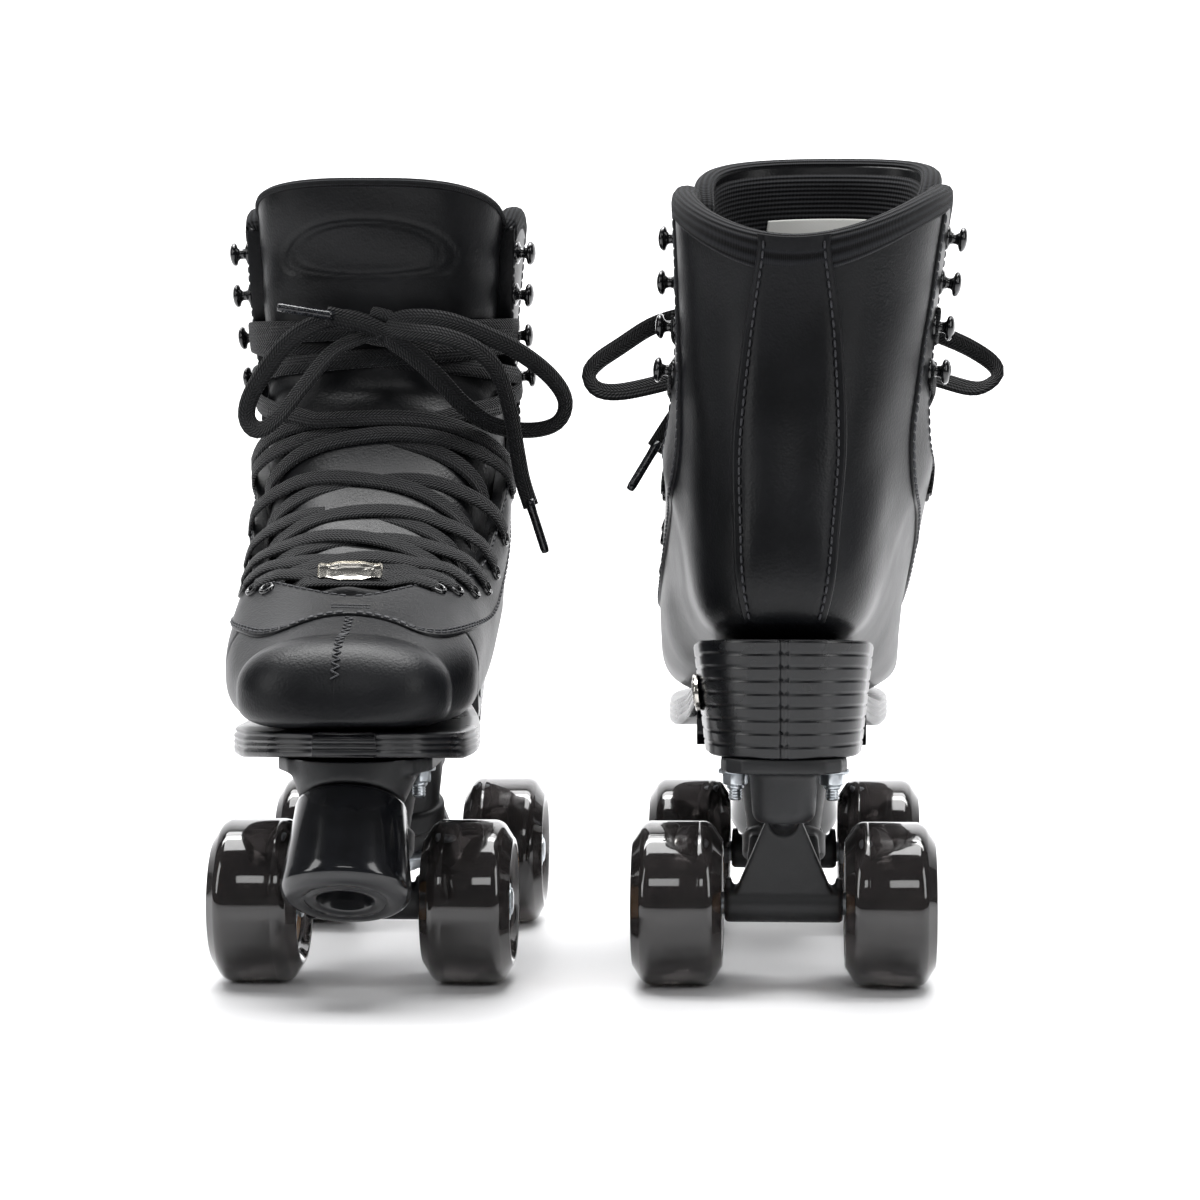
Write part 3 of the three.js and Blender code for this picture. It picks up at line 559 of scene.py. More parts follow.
# ------------------------------------------------------------------------------------------------
# The toe seam and the bar tacks: the vamp's two halves are closed down the middle of the toe with
# a zig-zag stitch over a taped seam, and two tight bars of stitching hold the foot of the throat.
# ------------------------------------------------------------------------------------------------
for side in SIDES:
    seam = [on_boot(side, section, 0.0, 0.25) for section in spread(0.74, -0.93, 60)]
    points, faces = [], []
    ring = [(math.cos(math.pi * k / 4), math.sin(math.pi * k / 4)) for k in range(8)]
    zigzag = []
    for k, (middle, way) in enumerate(along_path(seam, 1.6)):
        zigzag.append(middle + Vector((1.5 if k % 2 else -1.5, 0, 0)))
    tacks = [
        [on_boot(side, section, math.radians(a), 0.95) for a in spread(-16, 16, 12)]
        for section in (0.94, 1.02)
    ]
    for path in [zigzag] + tacks:
        for a, b in zip(path, path[1:]):
            way = (b - a).normalized()
            across = way.orthogonal().normalized()
            other = way.cross(across)
            first = len(points)
            for middle, size in ((a, 0.5), (a.lerp(b, 0.15), 1), (a.lerp(b, 0.85), 1), (b, 0.5)):
                points += [middle + (across * c + other * s) * 0.3 * size for c, s in ring]
            faces += [tuple(first + k for k in face) for face in grid_faces(4, 8, wrap=True)]
    make_piece(f"{side}_toe_seam_stitches", side, points, faces, thread_black, f"{side}_skate", "leather")

# ------------------------------------------------------------------------------------------------
# The collar lining and its binding: foam-backed rib knit inside the ankle, and a band of the same
# knit turned over the top edge. The ribs run along the edge as fine lines, painted lighter on their
# crests and darker in their hollows as painted highlight and shade, over a bump.
# ------------------------------------------------------------------------------------------------
RIB = 1.5  # mm from rib to rib


def rib_knit(name, hex_dark, hex_light, rib):
    material, tree, shader = new_material(name)
    strip = add_node(tree, "ShaderNodeUVMap", uv_map="strip")
    split = add_node(tree, "ShaderNodeSeparateXYZ", {"Vector": strip.outputs["UV"]})
    ribs = add_node(
        tree, "ShaderNodeMath", {0: split.outputs["Y"], 1: 2 * math.pi / rib}, operation="MULTIPLY"
    )
    wave = add_node(tree, "ShaderNodeMath", {0: ribs.outputs[0]}, operation="SINE")
    loops = add_node(
        tree, "ShaderNodeMath", {0: split.outputs["X"], 1: 2 * math.pi / 0.9}, operation="MULTIPLY"
    )
    loop_wave = add_node(tree, "ShaderNodeMath", {0: loops.outputs[0]}, operation="SINE")
    height = add_node(
        tree,
        "ShaderNodeMath",
        {0: loop_wave.outputs[0], 1: 0.25, 2: wave.outputs[0]},
        operation="MULTIPLY_ADD"
    )
    level = add_node(
        tree, "ShaderNodeMapRange", {"Value": height.outputs[0], "From Min": -1.2, "From Max": 1.2}
    )
    # Painted highlight and shade: the colour follows the rib height, lighter on the crests and darker in the
    # hollows between ribs.
    tint = add_node(
        tree, "ShaderNodeValToRGB", {"Fac": level.outputs["Result"]},
        stops=((0.2, hex_dark), (0.85, hex_light)),
    )
    tree.links.new(tint.outputs["Color"], shader.inputs["Base Color"])
    bump = add_node(
        tree, "ShaderNodeBump", {"Height": height.outputs[0], "Strength": 0.6, "Distance": 0.0004}
    )
    tree.links.new(bump.outputs["Normal"], shader.inputs["Normal"])
    shader.inputs["Roughness"].default_value = 0.9
    shader.inputs["Sheen Weight"].default_value = 0.08
    shader.inputs["Specular IOR Level"].default_value = 0.15
    return material


collar_knit = rib_knit("rib_knit_polyester_painted_rib_shade", "#09090b", "#232427", RIB)
LINING_DEPTH = 5.6
BINDING = [
    (-0.36, 0.2), (-0.34, -0.9), (-0.27, -1.3), (-0.12, -1.4), (0.0, -1.1), (0.07, -0.2), (0.11, 1.4),
    (0.12, 3.4), (0.1, 5.4), (0.04, 7.2), (-0.08, 8.2), (-0.22, 8.6), (-0.36, 8.2), (-0.38, 5.0)
]
LINING_ROWS = spread(2.0, 11.9, 46)
LINING_COLUMNS = 90


def collar_angle(section, share):
    """The angle at a share of the way from the inner edge of the throat, round the heel, to the outer."""
    edge = math.radians(throat_angle(section) + 1.0)
    return edge + (2 * math.pi - 2 * edge) * share


for side in SIDES:
    skins = []
    for face in (0, 1):
        grid = []
        for section in LINING_ROWS:
            line = []
            for j in range(LINING_COLUMNS):
                angle = collar_angle(section, j / (LINING_COLUMNS - 1))
                puff = min(max(section - 5, 0) / 3, 1.0) * LINING_DEPTH
                line.append(
                    boot_point(side, below_collar(section, angle), angle, 2.1 if face == 0 else 2.6 + puff)
                )
            grid.append(line)
        skins.append(grid)
    points, faces = shell(*skins)
    uvs = [
        (j * 3.0, i * 5.0) for _ in range(2) for i in range(len(LINING_ROWS)) for j in range(LINING_COLUMNS)
    ]
    piece = make_piece(
        f"{side}_collar_lining", side, points, faces, collar_knit, f"{side}_skate", "knit", uvs
    )
    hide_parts(f"{side}_boot_upper")
    points, uvs = [], []
    for j in range(181):
        angle = collar_angle(12, j / 180)
        top = collar_section(angle)
        ends = min(j, 180 - j)
        for k, (rise, inset) in enumerate(BINDING):
            if ends == 0:
                rise, inset = rise * 0.5 - 0.05, 3.4 + (inset - 3.4) * 0.4
            points.append(boot_point(side, top + rise, angle, inset))
            uvs.append((j * 1.6, k * 1.5))
    faces = grid_faces(181, len(BINDING), wrap=True)
    faces += [tuple(range(len(BINDING))), tuple(180 * len(BINDING) + k for k in range(len(BINDING)))]
    make_piece(f"{side}_collar_binding", side, points, faces, collar_knit, f"{side}_skate", "knit", uvs)

# ------------------------------------------------------------------------------------------------
# The tongue: foam between leather and knit, bound along its free edge. It stands up between the
# facings under the lace's pull and swells where nothing holds it. A plain oval is embossed above
# the bow, and a blank woven label is sewn inside.
# ------------------------------------------------------------------------------------------------
TONGUE_START = 1.7
TONGUE_TOP = {"left": 12.5, "right": 12.2}
TONGUE_BODY = 6.5


def tongue_point(side, share, across, lift):
    """A point of the tongue's outer face: share runs up it, and across is -1 to 1."""
    top = TONGUE_TOP[side] - 0.55 * abs(across) ** 6
    section = TONGUE_START + (top - TONGUE_START) * share
    angle = across * math.radians(throat_angle(section) + 10)
    puff = (1 - abs(across) ** 2.5) * min(section / 3, 1)
    inset = 6.0 - 4.2 * puff - 1.4 * min(max(section - 10.6, 0), 1) * puff
    inset += 0.9 * noise.noise(Vector((section * 1.3, across * 2.2, FLIP[side] * 3 + 5)))
    here = boot_point(side, section, angle, inset - lift)
    return here


def emboss(side, share, across):
    """How deep the tongue's face is pressed in: a double oval line, in millimetres."""
    section = TONGUE_START + (TONGUE_TOP[side] - TONGUE_START) * share
    x = across * 47.0
    z = (section - 10.9) * 18.5
    ring = math.hypot(x / 20.4, z / 10.6)
    return 0.7 * math.exp(-(((ring - 1.0) / 0.05) ** 2)) + 0.5 * math.exp(-(((ring - 0.84) / 0.04) ** 2))


TONGUE_ROWS = spread(0, 0.75, 60) + spread(0.76, 1, 70)
TONGUE_ACROSS = spread(-1, 1, 90)
for side in SIDES:
    outer = [
        [tongue_point(side, share, across, -emboss(side, share, across)) for across in TONGUE_ACROSS]
        for share in TONGUE_ROWS
    ]
    inner = [
        [tongue_point(side, share, across, -TONGUE_BODY + 2.5 * abs(across) ** 3) for across in TONGUE_ACROSS]
        for share in TONGUE_ROWS
    ]
    points, faces = shell(outer, inner)
    piece = make_piece(f"{side}_tongue_pad", side, points, faces, upper_leather, f"{side}_skate", "leather")
    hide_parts(f"{side}_tongue")
    edge = [(share, -1) for share in spread(0.72, 0.97, 40)] + [(1, across) for across in spread(-1, 1, 100)]
    edge += [(share, 1) for share in spread(0.97, 0.72, 40)]
    points, uvs = [], []
    for j, (share, across) in enumerate(edge):
        before = edge[max(j - 1, 0)]
        after = edge[min(j + 1, len(edge) - 1)]
        middle = tongue_point(side, share, across, -TONGUE_BODY * 0.42)
        on = (tongue_point(side, *after, 0) - tongue_point(side, *before, 0)).normalized()
        out = (tongue_point(side, share, across, 1) - tongue_point(side, share, across, -1)).normalized()
        out = (out - on * out.dot(on)).normalized()
        wide = on.cross(out)
        for k in range(14):
            turn = 2 * math.pi * k / 14
            points.append(middle + out * math.cos(turn) * 3.9 + wide * math.sin(turn) * 2.3)
            uvs.append((j * 1.6, k * 1.3))
    faces = grid_faces(len(edge), 14, wrap=True)
    faces += [tuple(range(14)), tuple((len(edge) - 1) * 14 + k for k in range(14))]
    make_piece(f"{side}_tongue_binding", side, points, faces, collar_knit, f"{side}_skate", "knit", uvs)

# ------------------------------------------------------------------------------------------------
# Eyelets and hooks: black-enamelled steel. Rolled eyelets are set down each facing, and above the
# ankle riveted hooks, each a domed cap on a short neck, take the lace round their necks.
# ------------------------------------------------------------------------------------------------
EYELET_ROWS = (1.85, 2.1, 2.5, 3.0, 3.6, 4.4, 5.5)
EYELET_ANGLE = 9.0  # degrees from the throat's edge
HOOK_HEIGHTS = (218, 234, 250, 266)
HOOK_ANGLE = 5.5
HOOK_TURN = math.radians(THROAT_ANGLE + HOOK_ANGLE)
EYELET = [(1.7, -0.6), (1.7, 0.5), (1.95, 0.95), (2.4, 1.1), (2.85, 0.95), (3.1, 0.5), (3.15, -0.3)]
HOOK = [
    (0.01, -0.5), (4.3, -0.5), (4.5, 0.1), (4.3, 0.7), (3.2, 1.1), (2.3, 1.6), (2.0, 2.3), (2.0, 3.5),
    (2.5, 4.2), (4.0, 4.6), (4.6, 5.2), (4.5, 6.0), (3.6, 6.8), (2.0, 7.3), (0.01, 7.5)
]


def lathe(profile, start, axis, sides=40):
    """Points and faces of a shape turned about an axis: the profile is (radius, distance) pairs."""
    axis = Vector(axis).normalized()
    across = axis.orthogonal().normalized()
    other = axis.cross(across)
    turns = [2 * math.pi * k / sides for k in range(sides)]
    points = [
        Vector(start) + axis * distance + (across * math.cos(turn) + other * math.sin(turn)) * radius
        for radius, distance in profile
        for turn in turns
    ]
    return points, grid_faces(len(profile), sides, wrap=True)


def gather(shapes):
    """One list of points and faces from several."""
    points, faces = [], []
    for more_points, more_faces in shapes:
        first = len(points)
        points += more_points
        faces += [tuple(first + k for k in face) for face in more_faces]
    return points, faces


def section_of_height(side, height, angle):
    """The section number where the boot is that high, at an angle from the front line."""
    low, high = 2.0, 12.9
    for _ in range(16):
        middle = (low + high) / 2
        if boot_point(side, middle, angle).z < height:
            low = middle
        else:
            high = middle
    return low


black_enamel, tree, shader = new_material("stoved_black_enamel_on_steel")
enamel_place = add_node(tree, "ShaderNodeTexCoord").outputs["Object"]
enamel_flow = add_node(tree, "ShaderNodeTexNoise", {"Vector": enamel_place, "Scale": 420.0, "Detail": 2.0})
enamel_tint = add_node(
    tree, "ShaderNodeValToRGB", {"Fac": enamel_flow.outputs["Fac"]},
    stops=((0.3, "#08080a"), (0.75, "#131417")),
)
tree.links.new(enamel_tint.outputs["Color"], shader.inputs["Base Color"])
enamel_bump = add_node(
    tree, "ShaderNodeBump", {"Height": enamel_flow.outputs["Fac"], "Strength": 0.1, "Distance": 0.0002}
)
tree.links.new(enamel_bump.outputs["Normal"], shader.inputs["Normal"])
shader.inputs["Roughness"].default_value = 0.14
shader.inputs["Coat Weight"].default_value = 0.6

for side in SIDES:
    hook_rows = [section_of_height(side, height, HOOK_TURN) for height in HOOK_HEIGHTS]
    eyelets, hooks = [], []
    for hand in (1, -1):
        for section in EYELET_ROWS:
            angle = hand * math.radians(throat_angle(section) + EYELET_ANGLE)
            place, out = on_boot(side, section, angle, FACING_THICK), boot_normal(side, section, angle)
            eyelets.append(lathe(EYELET, place, out, 28))
        for section in hook_rows:
            angle = hand * math.radians(throat_angle(section) + HOOK_ANGLE)
            place, out = on_boot(side, section, angle, FACING_THICK), boot_normal(side, section, angle)
            hooks.append(lathe(HOOK, place, out, 32))
    make_piece(f"{side}_eyelets", side, *gather(eyelets), black_enamel, f"{side}_skate", "enamel")
    make_piece(f"{side}_hooks", side, *gather(hooks), black_enamel, f"{side}_skate", "enamel")

# ------------------------------------------------------------------------------------------------
# The laces: one flat polyester braid to a boot, 7 mm wide, threaded over the facings and down
# through the eyelets, crossed round the two lower pairs of hooks and tied in a bow. The braid's
# strands make small chevrons. Each end is gripped in a crimped aglet.
# ------------------------------------------------------------------------------------------------
LACE_WIDTH = 7.0
LACE_THICK = 1.6
CHEVRON = 1.4  # mm from one strand to the next; the real braid is about half this

lace_braid, tree, shader = new_material("flat_braided_polyester")
strip = add_node(tree, "ShaderNodeUVMap", uv_map="strip")
split = add_node(tree, "ShaderNodeSeparateXYZ", {"Vector": strip.outputs["UV"]})
from_middle = add_node(tree, "ShaderNodeMath", {0: split.outputs["Y"]}, operation="ABSOLUTE")
slant = add_node(tree, "ShaderNodeMath", {0: split.outputs["X"], 1: from_middle.outputs[0]}, operation="ADD")
strands = add_node(
    tree, "ShaderNodeMath", {0: slant.outputs[0], 1: 2 * math.pi / CHEVRON}, operation="MULTIPLY"
)
strand_wave = add_node(tree, "ShaderNodeMath", {0: strands.outputs[0]}, operation="SINE")
columns = add_node(
    tree, "ShaderNodeMath", {0: split.outputs["Y"], 1: 2 * math.pi / 1.17}, operation="MULTIPLY"
)
column_wave = add_node(tree, "ShaderNodeMath", {0: columns.outputs[0]}, operation="COSINE")
braid_height = add_node(
    tree,
    "ShaderNodeMath",
    {0: column_wave.outputs[0], 1: 0.6, 2: strand_wave.outputs[0]},
    operation="MULTIPLY_ADD"
)
braid_level = add_node(
    tree, "ShaderNodeMapRange", {"Value": braid_height.outputs[0], "From Min": -1.6, "From Max": 1.6}
)
# Painted highlight and shade: the colour follows the braid's relief, lighter on the strands' crests and
# darker in the grooves between them.
braid_painted_shade_ramp = add_node(
    tree, "ShaderNodeValToRGB", {"Fac": braid_level.outputs["Result"]},
    stops=((0.1, "#050607"), (0.9, "#17181b")),
)
tree.links.new(braid_painted_shade_ramp.outputs["Color"], shader.inputs["Base Color"])
braid_bump = add_node(
    tree, "ShaderNodeBump", {"Height": braid_height.outputs[0], "Strength": 0.7, "Distance": 0.00025}
)
tree.links.new(braid_bump.outputs["Normal"], shader.inputs["Normal"])
shader.inputs["Roughness"].default_value = 0.62
shader.inputs["Specular IOR Level"].default_value = 0.18
shader.inputs["Sheen Weight"].default_value = 0.12


def smooth_path(points, spacing):
    """A smooth line through points, in even steps of about that many millimetres."""
    rows = [tuple(p) for p in points]
    fine = [Vector(smooth_row(rows, at)) for at in spread(0, len(rows) - 1, (len(rows) - 1) * 40 + 1)]
    total = sum((b - a).length for a, b in zip(fine, fine[1:]))
    steps = max(int(round(total / spacing)), 8)
    path, left, walked = [fine[0]], total / steps, 0.0
    for a, b in zip(fine, fine[1:]):
        step = (b - a).length
        while walked + step >= left * len(path) and len(path) < steps:
            path.append(a + (b - a) * ((left * len(path) - walked) / step))
        walked += step
    return path + [fine[-1]]


def braid_mesh(path, faces_way, width=LACE_WIDTH, thick=LACE_THICK):
    """A flat strip with soft edges along a path; faces_way says where its face looks at each point."""
    count = 12
    points, uvs, walked = [], [], 0.0
    for i, place in enumerate(path):
        along = (path[min(i + 1, len(path) - 1)] - path[max(i - 1, 0)]).normalized()
        across = along.cross(faces_way[i]).normalized()
        out = across.cross(along)
        walked += (path[i] - path[i - 1]).length if i else 0.0
        for k in range(count):
            turn = 2 * math.pi * k / count
            c, s = math.cos(turn), math.sin(turn)
            a = math.copysign(abs(c) ** 0.55, c) * width / 2
            b = math.copysign(abs(s) ** 0.75, s) * thick / 2
            points.append(place + across * a + out * b)
            uvs.append((walked, a))
    faces = grid_faces(len(path), count, wrap=True)
    faces += [tuple(range(count)), tuple((len(path) - 1) * count + k for k in range(count))]
    return points, faces, uvs


def gather_strips(strips):
    """One mesh and its strip coordinates from several strips."""
    points, faces = gather([(p, f) for p, f, _ in strips])
    return points, faces, [uv for _, _, uvs in strips for uv in uvs]


def crossing(side, low, high, hand, over, hooked):
    """A run of lace from an eyelet, under its facing, over the tongue and the far facing's edge."""
    path, ways = [], []
    for share in spread(-1, 1, 41):
        section = low + (high - low) * (share + 1) / 2
        reach = throat_angle(section) + EYELET_ANGLE
        angle = hand * math.radians(reach) * share
        on_edge = (throat_angle(section) - 1) / reach
        far = abs(share) / on_edge
        if share < 0 and not hooked:
            lift = -0.9 - 4.6 * min(max((far - 0.72) / 0.28, 0), 1) ** 1.5
        else:
            lift = -0.9 + (FACING_THICK + LACE_THICK / 2 + 1.1) * min(max((far - 0.62) / 0.3, 0), 1) ** 1.3
        lift += (0.95 if over else -0.55) * max(1 - (share / 0.5) ** 2, 0)
        sag = -1.2 * (1 - share**2) * (0.35 if hooked else 1)
        if abs(share) > 0.97 and not hooked and share > 0:
            lift -= 1.6
        level_share = min(max((section - 5) / 3, 0), 1)
        if level_share > 0:
            ends = [
                boot_point(side, row, math.radians(throat_angle(row) + EYELET_ANGLE)).z
                for row in (low, high)
            ]
            level_section = section_of_height(side, ends[0] + (ends[1] - ends[0]) * (share + 1) / 2, angle)
            section += (level_section - section) * level_share
        place = on_boot(side, section, angle, lift) + Vector((0, 0, sag))
        path.append(place)
        ways.append(boot_normal(side, section, angle))
    return braid_mesh(path, ways)


# The bow's loops and ends as [x, forward of the knot, above the knot], from the knot.
BOWS = {
    "left": {
        "shift": -2,
        "loops": [
            [
                (0, 2, 0), (-16, 6, 4), (-30, 8, 6), (-45, 6, 4), (-58, 2, 0), (-70, -6, -8),
                (-78, -13, -14), (-81, -16, -19), (-78, -15, -24), (-70, -12, -25), (-56, -4, -22),
                (-40, 4, -17), (-18, 6, -9), (0, 5, -2)
            ],
            [
                (0, 2, 0), (14, 6, 3), (28, 8, 2), (40, 5, 0), (50, -1, -4), (60, -10, -9), (68, -17, -15),
                (69, -20, -20), (62, -18, -24), (50, -10, -21), (34, 2, -15), (16, 5, -8), (0, 5, -2)
            ]
        ],
        "ends": [
            [(0, 3, 0), (-12, 9, -5), (-26, 12, -12), (-39, 8, -21), (-48, 0, -32), (-57, -6, -46)],
            [(0, 3, 0), (8, 8, -10), (14, 12, -24), (20, 15, -38), (24, 18, -52), (27, 23, -65)]
        ]
    },
    "right": {
        "shift": 5,
        "loops": [
            [
                (0, 2, 0), (12, 7, 3), (26, 9, 2), (40, 7, -3), (54, 2, -10), (65, -6, -19),
                (70, -11, -28), (67, -12, -36), (57, -9, -39), (43, -2, -37), (32, 5, -29), (22, 9, -18),
                (10, 8, -8), (0, 5, -2)
            ],
            [
                (0, 2, 0), (-12, 8, 3), (-24, 10, 0), (-34, 10, -7), (-42, 9, -17), (-48, 8, -27),
                (-49, 8, -35), (-44, 11, -39), (-36, 14, -34), (-26, 15, -22), (-15, 12, -9), (0, 5, -2)
            ]
        ],
        "ends": [
            [
                (0, 3, 0), (12, 9, -2), (26, 12, -4), (38, 10, -9), (46, 6, -18), (50, 1, -32),
                (52, -4, -46), (54, -7, -58), (57, -9, -68)
            ],
            [(22, 0, -10), (13, 1, -7), (4, 5, -3), (-5, 9, 1), (-18, 13, 4)]
        ]
    }
}
KNOT_HEIGHT = 236
AGLET_LENGTH = 19.0
AGLET_R = 1.7

aglet_film, tree, shader = new_material("heat_shrunk_acetate_film")
film_place = add_node(tree, "ShaderNodeTexCoord").outputs["Object"]
film_creases = add_node(tree, "ShaderNodeTexNoise", {"Vector": film_place, "Scale": 900.0, "Detail": 3.0})
film_tint = add_node(
    tree, "ShaderNodeValToRGB", {"Fac": film_creases.outputs["Fac"]},
    stops=((0.35, "#0d0e10"), (0.75, "#2c2e33")),
)
tree.links.new(film_tint.outputs["Color"], shader.inputs["Base Color"])
film_bump = add_node(
    tree, "ShaderNodeBump", {"Height": film_creases.outputs["Fac"], "Strength": 0.4, "Distance": 0.0003}
)
tree.links.new(film_bump.outputs["Normal"], shader.inputs["Normal"])
shader.inputs["Roughness"].default_value = 0.12


def in_row(side, point):
    """A point of a skate's own frame in the row's frame, in metres."""
    x, y, z = point
    return Vector(((MIDDLE[side] + x) * MM, FLIP[side] * y * MM, z * MM))


for side in SIDES:
    low_hooks = [section_of_height(side, height, HOOK_TURN) for height in HOOK_HEIGHTS[:2]]
    rows = list(EYELET_ROWS) + low_hooks
    strips = [crossing(side, rows[0], rows[0], 1, False, False)]
    for i, (low, high) in enumerate(zip(rows, rows[1:])):
        for hand in (1, -1):
            strips.append(crossing(side, low, high, hand, hand == (1 if i % 2 else -1), high in low_hooks))
    strips.append(crossing(side, rows[-1], rows[-1] + 0.2, 1, True, True))
    strips.append(crossing(side, rows[-1] + 0.05, rows[-1] + 0.15, -1, False, True))
    knot = boot_point(
        side, section_of_height(side, KNOT_HEIGHT, 0.0), 0.0
    ) + Vector((BOWS[side]["shift"], 3.6, 0))
    wrap = [
        knot + Vector((1.5 * math.sin(turn), 4.6 * math.cos(turn), 6.2 * math.sin(turn)))
        for turn in spread(0.4, 2 * math.pi + 0.2, 30)
    ]
    strips.append(braid_mesh(wrap, [(p - knot).normalized() for p in wrap], 8.0, 1.8))
    core = [knot + Vector((x, 0.4 * math.sin(x), 0.15 * x)) for x in spread(-7, 7, 12)]
    strips.append(braid_mesh(core, [Vector((0, 1, 0))] * len(core), 8.4, 5.4))
    points, faces, uvs = gather_strips(strips)
    piece = make_piece(
        f"{side}_lace_crossings", side, points, faces, lace_braid, f"{side}_skate", "lace", uvs
    )
    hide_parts(f"{side}_lace")
    bow = BOWS[side]
    for kind in ("loops", "ends"):
        for number, strand in enumerate(bow[kind], 1):
            path = smooth_path([knot + Vector(p) for p in strand], 2.2)
            way, ways = Vector((0.0, 0.95, 0.3)), []
            for i, place in enumerate(path):
                along = (path[min(i + 1, len(path) - 1)] - path[max(i - 1, 0)]).normalized()
                way = (way - along * way.dot(along)).normalized()
                ways.append(way.copy())
            points, faces, uvs = braid_mesh(path, ways)
            name = f"{side}_bow_{kind[:-1]}_{number}"
            cord = make_piece(name, side, points, faces, lace_braid, f"{side}_skate", "lace", uvs)
            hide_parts(f"{side}_lace")
            if kind == "ends":
                tip = path[-1]
                along = (path[-1] - path[-3]).normalized()
                droop = (along + Vector((0, 0, -0.05))).normalized()
                profile = [
                    (0.01, -3.0), (2.0, -2.8), (AGLET_R + 0.15, 0), (AGLET_R, 3),
                    (AGLET_R, AGLET_LENGTH - 2), (AGLET_R * 0.8, AGLET_LENGTH - 0.4), (0.01, AGLET_LENGTH)
                ]
                shape = lathe(profile, tip, droop, 20)
                make_piece(f"{name}_aglet", side, *shape, aglet_film, f"{side}_skate", "lace")

# ------------------------------------------------------------------------------------------------
# The sole units: injection-moulded thermoplastic rubber, cemented under the upper. A thin welted
# forefoot runs back through the arch into a tall heel, whose sides imitate stacked leather lifts
# with moulded grooves. Mould blasting leaves the rubber a soft satin.
# ------------------------------------------------------------------------------------------------
# Plan of the sole from heel to toe: y, outer half width, inner half width.
SOLE_PLAN = [
    (-119, 29, 29), (-100, 29.6, 29.6), (-80, 32, 31.5), (-50, 31.5, 29.5), (-20, 32.5, 28.5), (10, 37, 31),
    (40, 43.5, 37.5), (70, 45.5, 40.5), (95, 44, 41), (118, 36.5, 37.5), (134, 25, 27), (143, 10, 12.5),
]
SOLE_FLOOR = [
    (-121, 83), (-46, 83), (-44, 103), (-30, 101.5), (-12, 96), (8, 88.5), (28, 83.6), (38, 83), (112, 83),
    (146, 86.2)
]
SOLE_ROOF = [
    (-121, 124.8), (-100, 123.2), (-66, 118.6), (-28, 109.2), (8, 98), (40, 92.4), (70, 91.8), (116, 92.6),
    (146, 94.2)
]
HEEL_BREAST = -46.0
HEEL_TAPER = 0.87
HEEL_ROUND = -95.0  # where the heel begins to round off to its back

moulded_rubber, tree, shader = new_material("moulded_thermoplastic_rubber")
rubber_place = add_node(tree, "ShaderNodeTexCoord").outputs["Object"]
rubber_blast = add_node(
    tree, "ShaderNodeTexNoise", {"Vector": rubber_place, "Scale": 1000 / 0.8, "Detail": 3.0}
)
rubber_clouds = add_node(
    tree, "ShaderNodeTexNoise", {"Vector": rubber_place, "Scale": 1000 / 22, "Detail": 4.0}
)
rubber_tint = add_node(
    tree, "ShaderNodeValToRGB", {"Fac": rubber_clouds.outputs["Fac"]},
    stops=((0.3, "#0c0d0f"), (0.75, "#15161a")),
)
tree.links.new(rubber_tint.outputs["Color"], shader.inputs["Base Color"])
rubber_gloss = add_node(
    tree, "ShaderNodeMapRange", {"Value": rubber_clouds.outputs["Fac"], "To Min": 0.2, "To Max": 0.38}
)
tree.links.new(rubber_gloss.outputs["Result"], shader.inputs["Roughness"])
rubber_bump = add_node(
    tree, "ShaderNodeBump", {"Height": rubber_blast.outputs["Fac"], "Strength": 0.25, "Distance": 0.0002}
)
tree.links.new(rubber_bump.outputs["Normal"], shader.inputs["Normal"])


def level(table, at):
    """A value read from a table of (place, value) pairs along straight lines."""
    for (a, low), (b, high) in zip(table, table[1:]):
        if at <= b:
            return low + (high - low) * min(max((at - a) / (b - a), 0), 1)
    return table[-1][1]


def sole_layers(first, last, layers, taper):
    """A body between the sole's floor and roof over a length: layers are (inset, share of height)."""
    rows = []
    for step in spread(0, math.pi, 90):
        y = (first + last) / 2 - math.cos(step) * (last - first) / 2
        at = 0
        while at < len(SOLE_PLAN) - 2 and SOLE_PLAN[at + 1][0] < y:
            at += 1
        share = (y - SOLE_PLAN[at][0]) / (SOLE_PLAN[at + 1][0] - SOLE_PLAN[at][0])
        _, outer, inner = smooth_row(SOLE_PLAN, at + share)
        rounded = math.sqrt(1 - min(max((HEEL_ROUND - y) / (HEEL_ROUND + 119), 0.0), 0.999) ** 2)
        rows.append((y, outer * rounded, inner * rounded))
    outline = [Vector((inner, y)) for y, _, inner in rows] + [
        Vector((-outer, y)) for y, outer, _ in reversed(rows)
    ]
    count = len(outline)
    outs = []
    for k, p in enumerate(outline):
        way = outline[(k + 1) % count] - outline[k - 1]
        outs.append(Vector((way.y, -way.x)).normalized())
    points = []
    for inset, share in layers:
        size = 1 - (1 - HEEL_TAPER) * (1 - share) * taper
        for p, out in zip(outline, outs):
            x, y = p - out * inset
            foot, roof = level(SOLE_FLOOR, p.y), level(SOLE_ROOF, p.y)
            scaled = y * (size + (1 - size) * 0.55) if y < 0 else y
            points.append(Vector((x * size, scaled if taper else y, foot + (roof - foot) * share)))
    faces = grid_faces(len(layers), count, wrap=True)
    for base in (0, (len(layers) - 1) * count):
        for k in range(len(rows) - 1):
            faces.append((base + k, base + k + 1, base + count - 2 - k, base + count - 1 - k))
    return points, faces


